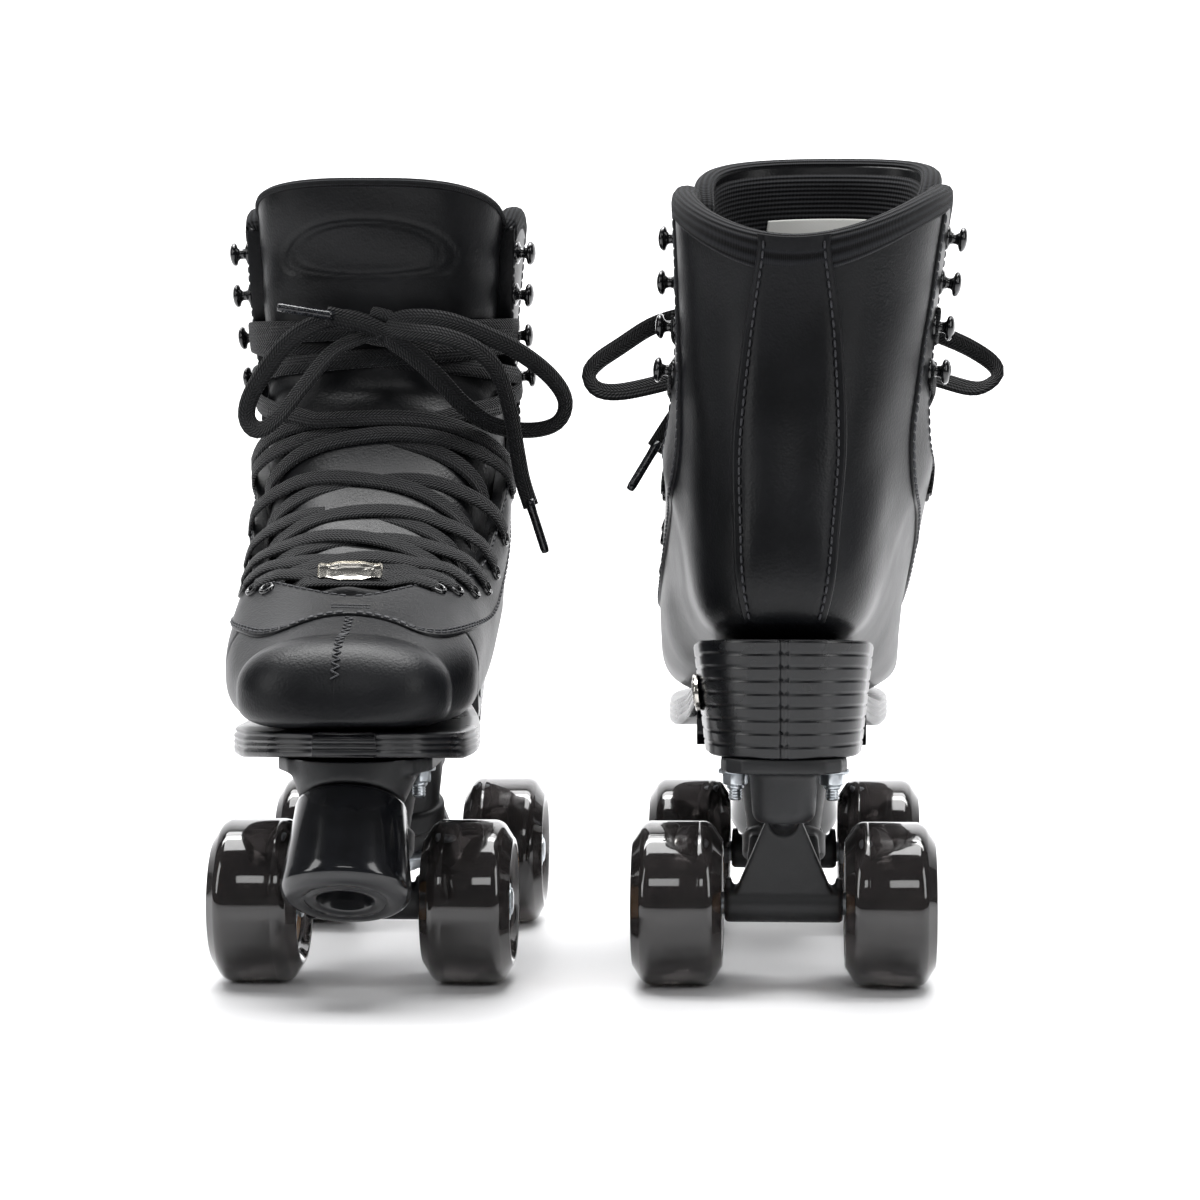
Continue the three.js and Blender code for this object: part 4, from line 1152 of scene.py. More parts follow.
heel_layers = [(3.0, 0.0), (0.8, 0.0), (0.1, 0.012)]
for lift in range(9):
    low, high = lift / 9, (lift + 1) / 9
    heel_layers += [(0.0, low + 0.016), (0.0, low + 0.024), (0.0, high - 0.026), (0.0, high - 0.018)]
    heel_layers += [(0.4, high - 0.01), (0.4, high + 0.004)]
heel_layers += [(0.2, 1.0), (4.0, 1.0)]
welt_layers = [
    (3.0, 0.0), (0.9, 0.0), (0.2, 0.06), (0.0, 0.16), (0.0, 0.28), (0.5, 0.32), (0.5, 0.36), (0.0, 0.4),
    (0.0, 0.5), (0.5, 0.54), (0.5, 0.58), (0.0, 0.62), (0.0, 0.72), (0.9, 0.78), (0.9, 0.84), (0.3, 0.9),
    (1.0, 0.98), (5.0, 1.0)
]
for side in SIDES:
    heel = sole_layers(-119, HEEL_BREAST - 0.5, heel_layers, 1)
    forepart = sole_layers(HEEL_BREAST - 6, 143.5, welt_layers, 0)
    piece = make_piece(f"{side}_heel", side, *heel, moulded_rubber, f"{side}_skate", "sole")
    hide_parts(f"{side}_sole_unit")
    piece = make_piece(f"{side}_forepart_sole", side, *forepart, moulded_rubber, f"{side}_skate", "sole")
    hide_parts(f"{side}_sole_unit")

# ------------------------------------------------------------------------------------------------
# The insole: a die-cut foam footbed faced with brushed nylon, lying in the bottom of the boot.
# Its nap is dull, with a faint weave.
# ------------------------------------------------------------------------------------------------
footbed_fabric, tree, shader = new_material("brushed_nylon_footbed")
fabric_place = add_node(tree, "ShaderNodeTexCoord").outputs["Object"]
fabric_weave = add_node(tree, "ShaderNodeTexVoronoi", {"Vector": fabric_place, "Scale": 1000 / 1.1})
fabric_nap = add_node(tree, "ShaderNodeTexNoise", {"Vector": fabric_place, "Scale": 1000 / 6, "Detail": 6.0})
fabric_tint = add_node(
    tree, "ShaderNodeValToRGB", {"Fac": fabric_nap.outputs["Fac"]},
    stops=((0.3, "#131315"), (0.7, "#232427")),
)
tree.links.new(fabric_tint.outputs["Color"], shader.inputs["Base Color"])
fabric_bump = add_node(
    tree, "ShaderNodeBump", {"Height": fabric_weave.outputs["Distance"], "Strength": 0.5, "Distance": 0.0003}
)
tree.links.new(fabric_bump.outputs["Normal"], shader.inputs["Normal"])
shader.inputs["Roughness"].default_value = 0.95
shader.inputs["Sheen Weight"].default_value = 0.4
for side in SIDES:
    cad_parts[f"{side}_insole"].data.materials[0] = footbed_fabric

# ------------------------------------------------------------------------------------------------
# The plates: one moulding each of glass-filled nylon, screwed to the sole. Each carries a sloped
# nose for the toe stop, and for each truck a cup for the pivot and a boss that holds the kingpin.
# Glass fibre leaves its skin slightly mottled and dull.
# ------------------------------------------------------------------------------------------------
PLATE_TOP = 82.9
PLATE_THICK = 5.2
# Half of the plate's plan outline: y and half width, heel to toe.
PLATE_HALF = [
    (-112, 14), (-106, 20), (-98, 22), (-62, 22), (-46, 14), (26, 14), (46, 24), (62, 27), (104, 27),
    (116, 22), (122, 14)
]
AXLE_Y, AXLE_Z = 78.0, 29.0
PIVOT_Y, PIVOT_Z = 94.0, 62.0
RING_Y, RING_Z = 54.0, 47.0
RING_THICK = 9.0
RING_R = 15.0
CUSHION_HEIGHT = 10.0
STOP_TILT = math.radians(29)
STOP_TOP = (114.0, 67.5)
BOLT_PLACES = ((-20, 84), (20, 84), (-17, -88), (17, -88))

glass_nylon, tree, shader = new_material("moulded_glass_filled_nylon")
nylon_place = add_node(tree, "ShaderNodeTexCoord").outputs["Object"]
nylon_fibre = add_node(
    tree, "ShaderNodeTexNoise", {"Vector": nylon_place, "Scale": 1000 / 1.6, "Detail": 6.0, "Distortion": 1.2}
)
nylon_flow = add_node(tree, "ShaderNodeTexNoise", {"Vector": nylon_place, "Scale": 1000 / 26, "Detail": 4.0})
nylon_tint = add_node(
    tree, "ShaderNodeValToRGB", {"Fac": nylon_flow.outputs["Fac"]},
    stops=((0.3, "#0f1012"), (0.72, "#191a1d")),
)
tree.links.new(nylon_tint.outputs["Color"], shader.inputs["Base Color"])
nylon_gloss = add_node(
    tree, "ShaderNodeMapRange", {"Value": nylon_fibre.outputs["Fac"], "To Min": 0.38, "To Max": 0.6}
)
tree.links.new(nylon_gloss.outputs["Result"], shader.inputs["Roughness"])
nylon_bump = add_node(
    tree, "ShaderNodeBump", {"Height": nylon_fibre.outputs["Fac"], "Strength": 0.18, "Distance": 0.0002}
)
tree.links.new(nylon_bump.outputs["Normal"], shader.inputs["Normal"])


def turned(profile, start, end, sides=48):
    """A solid turned about the line between two points: profile is (radius, share of the way)."""
    start, end = Vector(start), Vector(end)
    length = (end - start).length
    full = [(0.001, profile[0][1])] + list(profile) + [(0.001, profile[-1][1])]
    return lathe([(radius, share * length) for radius, share in full], start, end - start, sides)


def prism(outline, low, high):
    """A solid between two copies of an outline, each a list of points."""
    count = len(outline)
    points = [Vector(p) + Vector(low) for p in outline] + [Vector(p) + Vector(high) for p in outline]
    faces = [(k, (k + 1) % count, count + (k + 1) % count, count + k) for k in range(count)]
    return points, faces + [tuple(range(count)), tuple(range(2 * count - 1, count - 1, -1))]


def block_loft(low, high):
    """A solid between two rectangles, each (middle, half width in x, half depth in y)."""
    points = []
    for (x, y, z), half, deep in (low, high):
        points += [Vector((x + a * half, y + b * deep, z)) for a, b in ((-1, -1), (1, -1), (1, 1), (-1, 1))]
    faces = [(k, (k + 1) % 4, 4 + (k + 1) % 4, 4 + k) for k in range(4)]
    return points, faces + [(0, 1, 2, 3), (7, 6, 5, 4)]


def mesh_of(shapes):
    """A Blender mesh, in millimetres, of several overlapping solids."""
    shape = bmesh.new()
    for points, faces in shapes:
        verts = [shape.verts.new(p) for p in points]
        for face in faces:
            try:
                shape.faces.new([verts[k] for k in face])
            except ValueError:
                continue
    bmesh.ops.remove_doubles(shape, verts=shape.verts, dist=0.01)
    bmesh.ops.dissolve_degenerate(shape, dist=0.005, edges=shape.edges)
    bmesh.ops.recalc_face_normals(shape, faces=shape.faces)
    mesh = bpy.data.meshes.new("moulding")
    shape.to_mesh(mesh)
    shape.free()
    return mesh


def mould(solids, cuts, voxel, rounds):
    """Points and faces of one moulding: the solids fused, the cuts taken out, its edges softened."""
    body = bpy.data.objects.new("moulding", mesh_of(solids))
    bpy.context.scene.collection.objects.link(body)
    fuse = body.modifiers.new("fuse", "REMESH")
    fuse.mode = "VOXEL"
    fuse.voxel_size = voxel
    tools = []
    for cut in cuts:
        tool = bpy.data.objects.new("cut", mesh_of([cut]))
        bpy.context.scene.collection.objects.link(tool)
        take = body.modifiers.new("take", "BOOLEAN")
        take.operation = "DIFFERENCE"
        take.object = tool
        take.solver = "FAST"
        tools.append(tool)
    again = body.modifiers.new("again", "REMESH")
    again.mode = "VOXEL"
    again.voxel_size = voxel
    soften = body.modifiers.new("soften", "SMOOTH")
    soften.iterations = rounds
    made = bpy.data.meshes.new_from_object(body.evaluated_get(bpy.context.evaluated_depsgraph_get()))
    points = [v.co.copy() for v in made.vertices]
    faces = [tuple(p.vertices) for p in made.polygons]
    for extra in [body] + tools:
        bpy.data.objects.remove(extra)
    return points, faces


def truck_lines(end):
    """A truck's ring and pivot, the way its steering line runs, and the way its kingpin runs."""
    ring, pivot = Vector((0, end * RING_Y, RING_Z)), Vector((0, end * PIVOT_Y, PIVOT_Z))
    steer = (pivot - ring).normalized()
    return ring, pivot, steer, Vector((end, 0, 0)).cross(steer).normalized()


outline = [(x, y, 0) for y, x in PLATE_HALF] + [(-x, y, 0) for y, x in reversed(PLATE_HALF)]
solids = [prism(outline, (0, 0, PLATE_TOP - PLATE_THICK), (0, 0, PLATE_TOP))]
solids.append(block_loft(((0, 0, 70), 8, 60), ((0, 0, PLATE_TOP - 1), 9, 66)))
cuts = []
SEAT = RING_THICK / 2 + CUSHION_HEIGHT + 0.6
for end in (1, -1):
    ring, pivot, steer, king = truck_lines(end)
    solids.append(turned([(11.8, 0), (13, 0.06), (13, 1)], ring + king * SEAT, ring + king * (SEAT + 20)))
    solids.append(
        turned(
            [(9.5, 0), (11, 0.12), (12.4, 1)],
            (0, end * (PIVOT_Y + 2), PIVOT_Z - 2),
            (0, end * (PIVOT_Y + 2), PLATE_TOP - 1)
        )
    )
    solids.append(block_loft(((0, end * 76, 74), 3, 24), ((0, end * 76, PLATE_TOP - 1), 4, 26)))
    cuts.append(turned([(6.2, 0), (6.2, 1)], pivot - steer * 26, pivot + steer * 5))
    cuts.append(turned([(4.8, 0), (4.8, 1)], ring + king * (SEAT - 3), ring + king * (SEAT + 12)))
nose_line = Vector((0, math.sin(STOP_TILT), -math.cos(STOP_TILT)))
nose_foot = Vector((0, *STOP_TOP))
solids.append(
    turned([(17.2, 0), (18, 0.05), (24, 1)], nose_foot - nose_line * 0.3, nose_foot - nose_line * 17)
)
plate_points, plate_faces = mould(solids, cuts, 0.9, 4)
for p in plate_points:
    p.z = min(p.z, PLATE_TOP)
for side in SIDES:
    piece = make_piece(
        f"{side}_moulded_plate", side, plate_points, plate_faces, glass_nylon, f"{side}_skate", "nylon"
    )
    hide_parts(f"{side}_plate")

# ------------------------------------------------------------------------------------------------
# The fixings: bright zinc-plated steel. Each plate is held by four screws with washers and hex
# lock nuts, each truck by a kingpin with a cup washer and nut, and each wheel by an axle nut.
# Plating gives a cool grey shine that clouds a little.
# ------------------------------------------------------------------------------------------------
zinc_steel, tree, shader = new_material("zinc_plated_steel")
zinc_place = add_node(tree, "ShaderNodeTexCoord").outputs["Object"]
zinc_cloud = add_node(tree, "ShaderNodeTexNoise", {"Vector": zinc_place, "Scale": 1000 / 5, "Detail": 5.0})
zinc_tint = add_node(
    tree, "ShaderNodeValToRGB", {"Fac": zinc_cloud.outputs["Fac"]},
    stops=((0.3, "#aab1b8"), (0.72, "#d5dade")),
)
tree.links.new(zinc_tint.outputs["Color"], shader.inputs["Base Color"])
zinc_gloss = add_node(
    tree, "ShaderNodeMapRange", {"Value": zinc_cloud.outputs["Fac"], "To Min": 0.2, "To Max": 0.42}
)
tree.links.new(zinc_gloss.outputs["Result"], shader.inputs["Roughness"])
shader.inputs["Metallic"].default_value = 1.0



def hex_nut(start, way, across_flats, thick, collar=2.0):
    """A hexagon nut with chamfered corners and a round lock collar on its outer face."""
    way = Vector(way).normalized()
    side_way = way.orthogonal().normalized()
    other = way.cross(side_way)
    rows = [(0.93, 0.0), (1.0, 0.08 * thick), (1.0, 0.86 * thick), (0.9, thick)]
    points = []
    for size, distance in rows:
        for k in range(48):
            turn = 2 * math.pi * k / 48
            flat = across_flats / 2 / math.cos((turn + math.pi / 6) % (math.pi / 3) - math.pi / 6)
            reach = min(flat, across_flats / 2 * 1.155 * size)
            points.append(
                Vector(start) + way * distance + (
                    side_way * math.cos(turn) + other * math.sin(turn)
                ) * reach
            )
    faces = grid_faces(len(rows), 48, wrap=True) + [tuple(range(48)), tuple(3 * 48 + k for k in range(48))]
    neck = across_flats * 0.38
    ring = turned(
        [(neck, 0), (neck, 0.7), (neck - 0.6, 1), (neck - 1.4, 1)],
        Vector(start) + way * (thick - 0.2),
        Vector(start) + way * (thick + collar)
    )
    return gather([(points, faces), ring])


def washer(start, way, radius, thick):
    way = Vector(way).normalized()
    return turned(
        [(radius - 0.3, 0), (radius, 0.2), (radius, 0.8), (radius - 0.3, 1)],
        start,
        Vector(start) + way * thick
    )


def screw_end(start, way, radius, length):
    """The threaded end of a screw: fine ridges and a chamfered tip."""
    rows = [(radius, 0.0)]
    turns = int(length / 0.9)
    for k in range(turns):
        rows += [
            (radius, (k + 0.2) / turns), (radius - 0.35, (k + 0.6) / turns), (radius, (k + 0.95) / turns)
        ]
    rows[-1] = (radius - 0.6, 1.0)
    return turned(rows, start, Vector(start) + Vector(way).normalized() * length, 24)


DOWN = Vector((0, 0, -1))
UNDER = PLATE_TOP - PLATE_THICK
for side in SIDES:
    for (x, y), label in zip(BOLT_PLACES, ("front_outer", "front_inner", "rear_outer", "rear_inner")):
        shapes = [
            washer((x, y, UNDER), DOWN, 6, 1.5),
            hex_nut((x, y, UNDER - 1.5), DOWN, 8.0, 4.0, 1.6),
            screw_end((x, y, UNDER - 5), DOWN, 2.4, 6.0),
        ]
        piece = make_piece(
            f"{side}_{label}_screw", side, *gather(shapes), zinc_steel, f"{side}_skate", "steel"
        )
        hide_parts(f"{side}_{label}_plate_bolt")

# ------------------------------------------------------------------------------------------------
# The trucks: each hanger is a nylon moulding with an axle tube, a ring round the kingpin and a
# pivot pin, and its axle is pressed through it. Two urethane cushions, squeezed between ring,
# plate and cup washer, spring it back when the skater leans.
# ------------------------------------------------------------------------------------------------
CUSHION_R = 12.0
AXLE_R = 4.0
AXLE_HALF = 53.0

cushion_urethane, tree, shader = new_material("cast_urethane_cushion")
cushion_place = add_node(tree, "ShaderNodeTexCoord").outputs["Object"]
cushion_flow = add_node(tree, "ShaderNodeTexNoise", {"Vector": cushion_place, "Scale": 260.0, "Detail": 3.0})
cushion_tint = add_node(
    tree, "ShaderNodeValToRGB", {"Fac": cushion_flow.outputs["Fac"]},
    stops=((0.3, "#0f0f11"), (0.75, "#1a1b1e")),
)
tree.links.new(cushion_tint.outputs["Color"], shader.inputs["Base Color"])
cushion_bump = add_node(
    tree, "ShaderNodeBump", {"Height": cushion_flow.outputs["Fac"], "Strength": 0.15, "Distance": 0.0003}
)
tree.links.new(cushion_bump.outputs["Normal"], shader.inputs["Normal"])
shader.inputs["Roughness"].default_value = 0.36

hanger_shapes = {}
for end in (1, -1):
    ring, pivot, steer, king = truck_lines(end)
    axle = Vector((0, end * AXLE_Y, AXLE_Z))
    across = Vector((1, 0, 0))
    solids = [
        turned([(5.8, 0), (6.7, 0.03), (6.7, 0.97), (5.8, 1)], axle - across * 21, axle + across * 21),
        turned(
            [(14.2, 0), (RING_R, 0.1), (RING_R, 0.9), (14.2, 1)],
            ring - king * RING_THICK / 2,
            ring + king * RING_THICK / 2
        ),
        turned([(5.0, 0), (5.0, 0.7), (4.2, 0.95), (2.5, 1)], pivot - steer * 12, pivot + steer * 3)
    ]
    foot = pivot - steer * 12
    solids.append(
        block_loft((tuple(axle + Vector((0, 0, 2))), 18, 5.5), (tuple(foot + Vector((0, 0, 2))), 6, 4))
    )
    arm_top = (0, ring.y + end * 9, ring.z + 5)
    solids.append(block_loft((tuple(axle + Vector((0, -end * 2, -3))), 15, 5), (arm_top, 12, 6)))
    for x in (-19.5, 19.5):
        solids.append(block_loft(((x, axle.y, AXLE_Z), 1.5, 4), ((x, axle.y, AXLE_Z + 9), 1.2, 3)))
    cuts = [
        turned([(5.8, 0), (5.8, 1)], ring - king * 30, ring + king * 30),
        turned([(CUSHION_R + 1, 0), (CUSHION_R + 5, 1)], ring + king * RING_THICK / 2, ring + king * 34),
        turned([(CUSHION_R + 5, 0), (CUSHION_R + 1, 1)], ring - king * 34, ring - king * RING_THICK / 2),
        turned([(4.5, 0), (4.5, 1)], axle - across * 60, axle + across * 60),
    ]
    hanger_shapes[end] = mould(solids, cuts, 0.55, 5)

for side in SIDES:
    for place, end in (("front", 1), ("rear", -1)):
        truck = f"{side}_{place}_truck"
        ring, pivot, steer, king = truck_lines(end)
        axle = Vector((0, end * AXLE_Y, AXLE_Z))
        across = Vector((1, 0, 0))
        piece = make_piece(
            f"{side}_{place}_moulded_hanger", side, *hanger_shapes[end], glass_nylon, truck, "nylon"
        )
        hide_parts(f"{side}_{place}_hanger")
        shapes = [turned([(AXLE_R - 0.5, 0), (AXLE_R, 0.01), (AXLE_R, 0.99), (AXLE_R - 0.5, 1)],
                         axle - across * AXLE_HALF, axle + across * AXLE_HALF, 32)]
        for x in (-1, 1):
            shapes.append(washer(axle + across * x * 22.2, across * x, 6.2, 1.4))
            shapes.append(hex_nut(axle + across * x * 48.3, across * x, 12.7, 3.6, 0.9))
        piece = make_piece(f"{side}_{place}_pressed_axle", side, *gather(shapes), zinc_steel, truck, "steel")
        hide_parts(f"{side}_{place}_axle")
        low = -SEAT
        shapes = [
            turned([(4, 0), (4, 1)], ring + king * (low - 2), ring + king * (SEAT + 12), 32),
            turned(
                [(11.3, 0), (12.2, 0.1), (12.2, 0.5), (11, 1)],
                ring + king * (low - 1.6),
                ring + king * (low + 1.2)
            ),
            hex_nut(ring + king * (low - 1.6), -king, 14.0, 6.0, 1.4),
            screw_end(ring + king * (low - 7), -king, 3.8, 3.2),
            turned(
                [(11.3, 0), (12.2, 0.3), (12.2, 0.8), (11.3, 1)],
                ring + king * (SEAT - 1.6),
                ring + king * (SEAT - 0.3)
            )
        ]
        piece = make_piece(
            f"{side}_{place}_kingpin_set", side, *gather(shapes), zinc_steel, f"{side}_skate", "steel"
        )
        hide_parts(f"{side}_{place}_kingpin")
        for label, hand in (("upper", 1), ("lower", -1)):
            near, far = RING_THICK / 2 + 0.2, RING_THICK / 2 + CUSHION_HEIGHT - (1.2 if hand > 0 else 0)
            slim = 0.0 if hand > 0 else 1.6
            profile = []
            for share in spread(0, 1, 17):
                bulge = 0.9 * math.sin(math.pi * share) - 1.0 * (abs(2 * share - 1) ** 8)
                profile.append((CUSHION_R - 0.6 + bulge - slim * share, near + (far - near) * share))
            profile = [(4.6, profile[0][1])] + profile + [(4.6, profile[-1][1])]
            points, faces = lathe(profile, ring, king * hand, 56)
            held = (
                f"{side}_skate",
                truck,
                in_row(side, ring + king * hand * far),
                in_row(side, ring + king * hand * near)
            )
            piece = make_piece(
                f"{side}_{place}_{label}_bushing", side, points, faces, cushion_urethane, held, "cushion"
            )
            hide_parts(f"{side}_{place}_{label}_cushion")

# ------------------------------------------------------------------------------------------------
# The wheels: smoke-tinted cast urethane tyres, bonded round nylon cores of an amber tan that
# glows faintly through them. A steel ball bearing is pressed into each side of a core. Casting
# leaves a glassy skin, with a fine parting line near the inner edge.
# ------------------------------------------------------------------------------------------------
WHEEL_R = 29.0
WHEEL_WIDTH = 32.0
WHEEL_X = 37.5
HUB_R = 17.0
HUB_WIDTH = 25.0
BEARING_R = 11.0

smoky_urethane, tree, shader = new_material("cast_smoky_urethane")
tyre_place = add_node(tree, "ShaderNodeTexCoord").outputs["Object"]
tyre_wear = add_node(tree, "ShaderNodeTexNoise", {"Vector": tyre_place, "Scale": 90.0, "Detail": 6.0})
tyre_tint = add_node(
    tree, "ShaderNodeValToRGB", {"Fac": tyre_wear.outputs["Fac"]},
    stops=((0.35, "#363333"), (0.7, "#474342")),
)
tree.links.new(tyre_tint.outputs["Color"], shader.inputs["Base Color"])
tyre_gloss = add_node(
    tree, "ShaderNodeMapRange", {"Value": tyre_wear.outputs["Fac"], "To Min": 0.03, "To Max": 0.12}
)
tree.links.new(tyre_gloss.outputs["Result"], shader.inputs["Roughness"])
shader.inputs["Transmission Weight"].default_value = 0.66
shader.inputs["IOR"].default_value = 1.5
shader.inputs["Coat Weight"].default_value = 0.5
shader.inputs["Coat Roughness"].default_value = 0.03

amber_nylon, tree, shader = new_material("moulded_amber_nylon")
core_place = add_node(tree, "ShaderNodeTexCoord").outputs["Object"]
core_flow = add_node(tree, "ShaderNodeTexNoise", {"Vector": core_place, "Scale": 160.0, "Detail": 4.0})
core_tint = add_node(
    tree, "ShaderNodeValToRGB", {"Fac": core_flow.outputs["Fac"]},
    stops=((0.3, "#9c6a30"), (0.75, "#c08a48")),
)
tree.links.new(core_tint.outputs["Color"], shader.inputs["Base Color"])
shader.inputs["Roughness"].default_value = 0.42
shader.inputs["Subsurface Weight"].default_value = 0.15

bearing_steel, tree, shader = new_material("ground_bearing_steel")
bearing_place = add_node(tree, "ShaderNodeTexCoord").outputs["Object"]
bearing_lines = add_node(
    tree, "ShaderNodeTexNoise", {"Vector": bearing_place, "Scale": 700.0, "Detail": 2.0}
)
bearing_gloss = add_node(
    tree, "ShaderNodeMapRange", {"Value": bearing_lines.outputs["Fac"], "To Min": 0.14, "To Max": 0.3}
)
tree.links.new(bearing_gloss.outputs["Result"], shader.inputs["Roughness"])
shader.inputs["Base Color"].default_value = linear("#c3c7cb")
shader.inputs["Metallic"].default_value = 1.0


def arc(middle, radius, first, last, steps):
    """Points (radius, distance) round a circle in a turned shape's profile, by degrees."""
    return [
        (middle[0] + radius * math.sin(math.radians(a)), middle[1] + radius * math.cos(math.radians(a)))
        for a in spread(first, last, steps)
    ]


half = WHEEL_WIDTH / 2
lip = WHEEL_R - 6.5
TYRE = [(HUB_R, -half + 3.4), (HUB_R + 1.5, -half + 2.4), (lip - 1.5, -half + 0.5)]
TYRE += [(r, -h) for r, h in arc((lip - 0.6, half - 1.4), 1.4, 10, 52, 6)]
TYRE += [(r, -h) for r, h in arc((WHEEL_R - 5.5, half - 7.2), 5.5, 42, 90, 10)]
TYRE += [(WHEEL_R, -half + 11), (WHEEL_R, half - 8.6), (WHEEL_R - 0.12, half - 8.4), (WHEEL_R, half - 8.2)]
TYRE += arc((WHEEL_R - 5.5, half - 7.2), 5.5, 90, 42, 10)
TYRE += arc((lip - 0.6, half - 1.4), 1.4, 52, 10, 6)
TYRE += [(lip - 1.5, half - 0.5), (HUB_R + 1.5, half - 2.4), (HUB_R, half - 3.4), (HUB_R, 0)]
core = HUB_WIDTH / 2
CORE = [
    (BEARING_R, -core + 0.4), (BEARING_R + 0.6, -core), (HUB_R - 1, -core), (HUB_R - 0.3, -core + 0.6),
    (HUB_R - 0.3, core - 0.6), (HUB_R - 1, core), (BEARING_R + 0.6, core), (BEARING_R, core - 0.4),
    (BEARING_R, core - 7.2), (BEARING_R - 2, core - 7.2), (BEARING_R - 2, -core + 7.2),
    (BEARING_R, -core + 7.2)
]
BEARING = [
    (4.2, 0), (6.2, 0), (6.2, 0.5), (6.6, 0.6), (9.2, 0.45), (9.4, 0.1), (9.8, 0.0), (10.7, 0.0),
    (10.9, 0.3), (10.9, 6.8), (4.2, 6.8)
]
for side in SIDES:
    for place, end in (("front", 1), ("rear", -1)):
        for part, x, inward in (("outer", -WHEEL_X, 1), ("inner", WHEEL_X, -1)):
            wheel = f"{side}_{place}_{part}_wheel"
            middle = Vector((x, end * AXLE_Y, AXLE_Z))
            points, faces = lathe(TYRE + TYRE[:1], middle, (inward, 0, 0), 96)
            piece = make_piece(
                f"{side}_{place}_{part}_cast_tyre", side, points, faces, smoky_urethane, wheel, "tyre"
            )
            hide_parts(f"{side}_{place}_{part}_tyre")
            points, faces = lathe(CORE + CORE[:1], middle, (inward, 0, 0), 64)
            piece = make_piece(f"{side}_{place}_{part}_core", side, points, faces, amber_nylon, wheel, "hub")
            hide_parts(f"{side}_{place}_{part}_hub")
            shapes = []
            for hand in (1, -1):
                face = middle + Vector((hand * (core - 0.3), 0, 0))
                shapes.append(lathe(BEARING + BEARING[:1], face, (-hand, 0, 0), 56))
            make_piece(
                f"{side}_{place}_{part}_bearings", side, *gather(shapes), bearing_steel, wheel, "steel"
            )

# ------------------------------------------------------------------------------------------------
# The toe stops: glossy black moulded urethane plugs, drawn up to the plate's nose by a bolt sunk
# in the well of the face. Two shallow rings are moulded into the face, and its rim is rounded.
# ------------------------------------------------------------------------------------------------
STOP_LENGTH = 37.0

stop_urethane, tree, shader = new_material("moulded_gloss_urethane")
stop_place = add_node(tree, "ShaderNodeTexCoord").outputs["Object"]
stop_scuff = add_node(tree, "ShaderNodeTexNoise", {"Vector": stop_place, "Scale": 130.0, "Detail": 7.0})
stop_tint = add_node(
    tree, "ShaderNodeValToRGB", {"Fac": stop_scuff.outputs["Fac"]},
    stops=((0.3, "#0c0d0f"), (0.75, "#15161a")),
)
tree.links.new(stop_tint.outputs["Color"], shader.inputs["Base Color"])
stop_gloss = add_node(
    tree, "ShaderNodeMapRange", {"Value": stop_scuff.outputs["Fac"], "To Min": 0.06, "To Max": 0.24}
)
tree.links.new(stop_gloss.outputs["Result"], shader.inputs["Roughness"])
shader.inputs["Coat Weight"].default_value = 0.3

STOP = [
    (9.5, STOP_LENGTH - 22), (9.5, STOP_LENGTH - 1.4), (10.3, STOP_LENGTH - 0.4), (13.4, STOP_LENGTH),
    (13.9, STOP_LENGTH - 0.7), (14.5, STOP_LENGTH - 0.7), (15.0, STOP_LENGTH - 0.1),
    (17.2, STOP_LENGTH - 0.3)
]
STOP += [(r, h) for r, h in arc((17.6, STOP_LENGTH - 5.2), 4.9, 8, 84, 12)]
STOP += [(22.2, STOP_LENGTH - 8), (20.4, 15), (19.2, 2.5), (18.6, 1.0), (17.4, 0.35), (9.5, 0.35)]
BOLT_HEAD = [
    (0.01, 11.5), (2.6, 11.5), (2.8, 8.8), (3.4, 8.2), (6.0, 8.0), (6.5, 7.4), (6.5, 0.6), (6.2, 0.0),
    (9.3, -0.2), (9.3, -1.4), (0.01, -1.4)
]
for side in SIDES:
    points, faces = lathe(STOP + STOP[:1], nose_foot, nose_line, 80)
    piece = make_piece(
        f"{side}_moulded_toe_stop", side, points, faces, stop_urethane, f"{side}_skate", "stopper"
    )
    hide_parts(f"{side}_toe_stop")
    seat = nose_foot + nose_line * (STOP_LENGTH - 20.5)
    points, faces = lathe([(r, h - 3.5) for r, h in BOLT_HEAD], seat, nose_line, 48)
    piece = make_piece(f"{side}_toe_stop_fixing", side, points, faces, zinc_steel, f"{side}_skate", "steel")
    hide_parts(f"{side}_toe_stop_bolt")

# ------------------------------------------------------------------------------------------------
# The trims: a plain pressed-metal tag threaded on the lowest lace, an unmarked chrome oval pinned
# to the outer side of each heel, and inside each tongue a rib-knit lining with a blank woven label.
# ------------------------------------------------------------------------------------------------
bright_chrome, tree, shader = new_material("polished_chrome_plate")
chrome_place = add_node(tree, "ShaderNodeTexCoord").outputs["Object"]
chrome_haze = add_node(tree, "ShaderNodeTexNoise", {"Vector": chrome_place, "Scale": 500.0, "Detail": 4.0})
chrome_gloss = add_node(
    tree, "ShaderNodeMapRange", {"Value": chrome_haze.outputs["Fac"], "To Min": 0.1, "To Max": 0.26}
)
tree.links.new(chrome_gloss.outputs["Result"], shader.inputs["Roughness"])
shader.inputs["Base Color"].default_value = linear("#d2cfc8")
shader.inputs["Metallic"].default_value = 1.0

woven_label, tree, shader = new_material("woven_satin_label")
label_strip = add_node(tree, "ShaderNodeUVMap", uv_map="strip")
label_weave = add_node(tree, "ShaderNodeTexChecker", {"Vector": label_strip.outputs["UV"], "Scale": 2.0})
label_bump = add_node(
    tree, "ShaderNodeBump", {"Height": label_weave.outputs["Fac"], "Strength": 0.3, "Distance": 0.0001}
)
tree.links.new(label_bump.outputs["Normal"], shader.inputs["Normal"])
shader.inputs["Base Color"].default_value = linear("#dcdcd8")
shader.inputs["Roughness"].default_value = 0.6


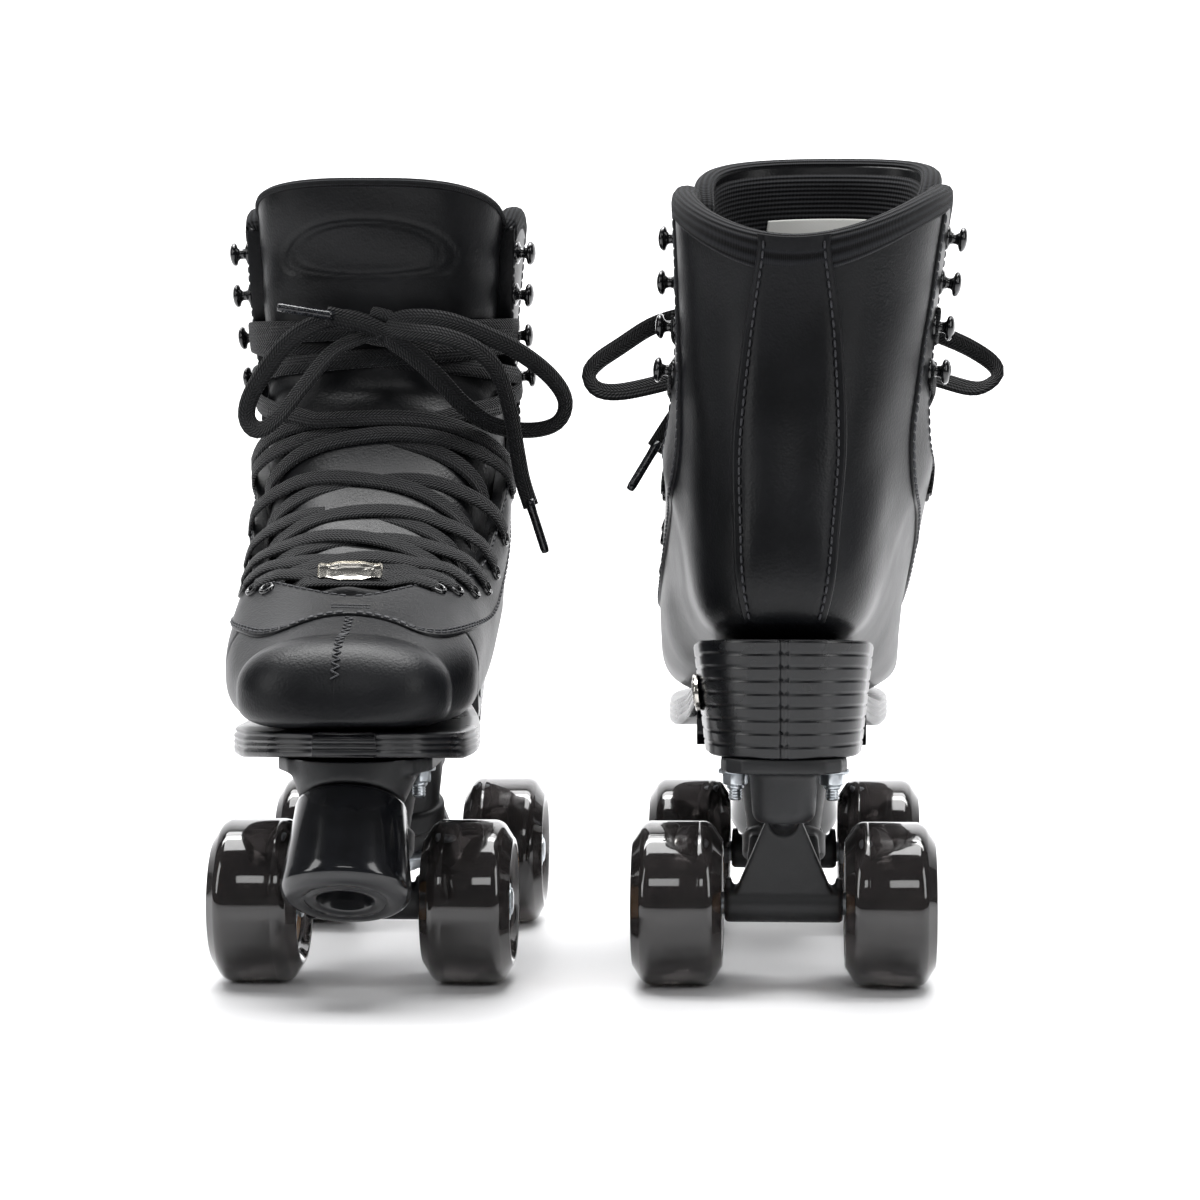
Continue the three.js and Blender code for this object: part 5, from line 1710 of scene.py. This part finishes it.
def domed_plate(middle, across, up, half_wide, half_high, power, thick, waist=0.0, relief=0.0):
    """A small plate with a rounded outline: its rim falls away, and an oval may stand in relief."""
    across, up = Vector(across).normalized(), Vector(up).normalized()
    out = across.cross(up)
    points, rows = [], [(1.0, -0.6), (1.0, 0.55), (0.97, 0.85), (0.92, 1.0), (0.8, 1.0)]
    rows += [
        (0.72, 1.0), (0.68, 1.0 + relief * 0.8), (0.6, 1.0 + relief), (0.3, 1.0 + relief * 1.15),
        (0.01, 1.0 + relief * 1.2)
    ]
    for size, rise in rows:
        for k in range(72):
            turn = 2 * math.pi * k / 72
            c, s = math.cos(turn), math.sin(turn)
            reach = (abs(c) ** power + abs(s) ** power) ** (-1 / power)
            x = half_wide * reach * c
            z = half_high * reach * s * (1 - waist * math.exp(-(((abs(x) - half_wide * 0.72) / 2.2) ** 2)))
            points.append(Vector(middle) + across * x * size + up * z * size + out * thick * rise)
    return points, grid_faces(len(rows), 72, wrap=True)


for side in SIDES:
    place = on_boot(side, 1.62, 0.0, 5.4)
    way = (boot_normal(side, 1.62, 0.0) + Vector((0, 0.8, 0))).normalized()
    up = Vector((1, 0, 0)).cross(way)
    tag = domed_plate(place, (-1, 0, 0), -up, 11.5, 3.9, 7.0, 0.9, waist=0.25, relief=0.6)
    make_piece(f"{side}_lace_tag", side, *tag, bright_chrome, f"{side}_skate", "chrome")
    badge = domed_plate((-30.6, -82, 104), (0, -1, 0), (-0.1, 0, 1), 9.5, 6.5, 2.0, 1.0, relief=0.5)
    make_piece(f"{side}_heel_badge", side, *badge, bright_chrome, f"{side}_skate", "chrome")
    for name, low, high, half, depth, finish, slot in (
        ("tongue_lining", 0.5, 0.985, 0.93, 0.5, collar_knit, "knit"),
        ("tongue_label", 0.85, 0.905, 0.3, 1.0, woven_label, "lace"),
    ):
        rows, across = spread(low, high, 24), spread(-half, half, 40)
        skins = [
            [
                [
                    tongue_point(side, share, a, -TONGUE_BODY + 2.5 * abs(a) ** 3 - depth + near)
                    for a in across
                ]
                for share in rows
            ]
            for near in (0.3, -0.1)
        ]
        points, faces = shell(*skins)
        uvs = [(a * 47, share * 190) for _ in (0, 1) for share in rows for a in across]
        make_piece(f"{side}_{name}", side, points, faces, finish, f"{side}_skate", slot, uvs)
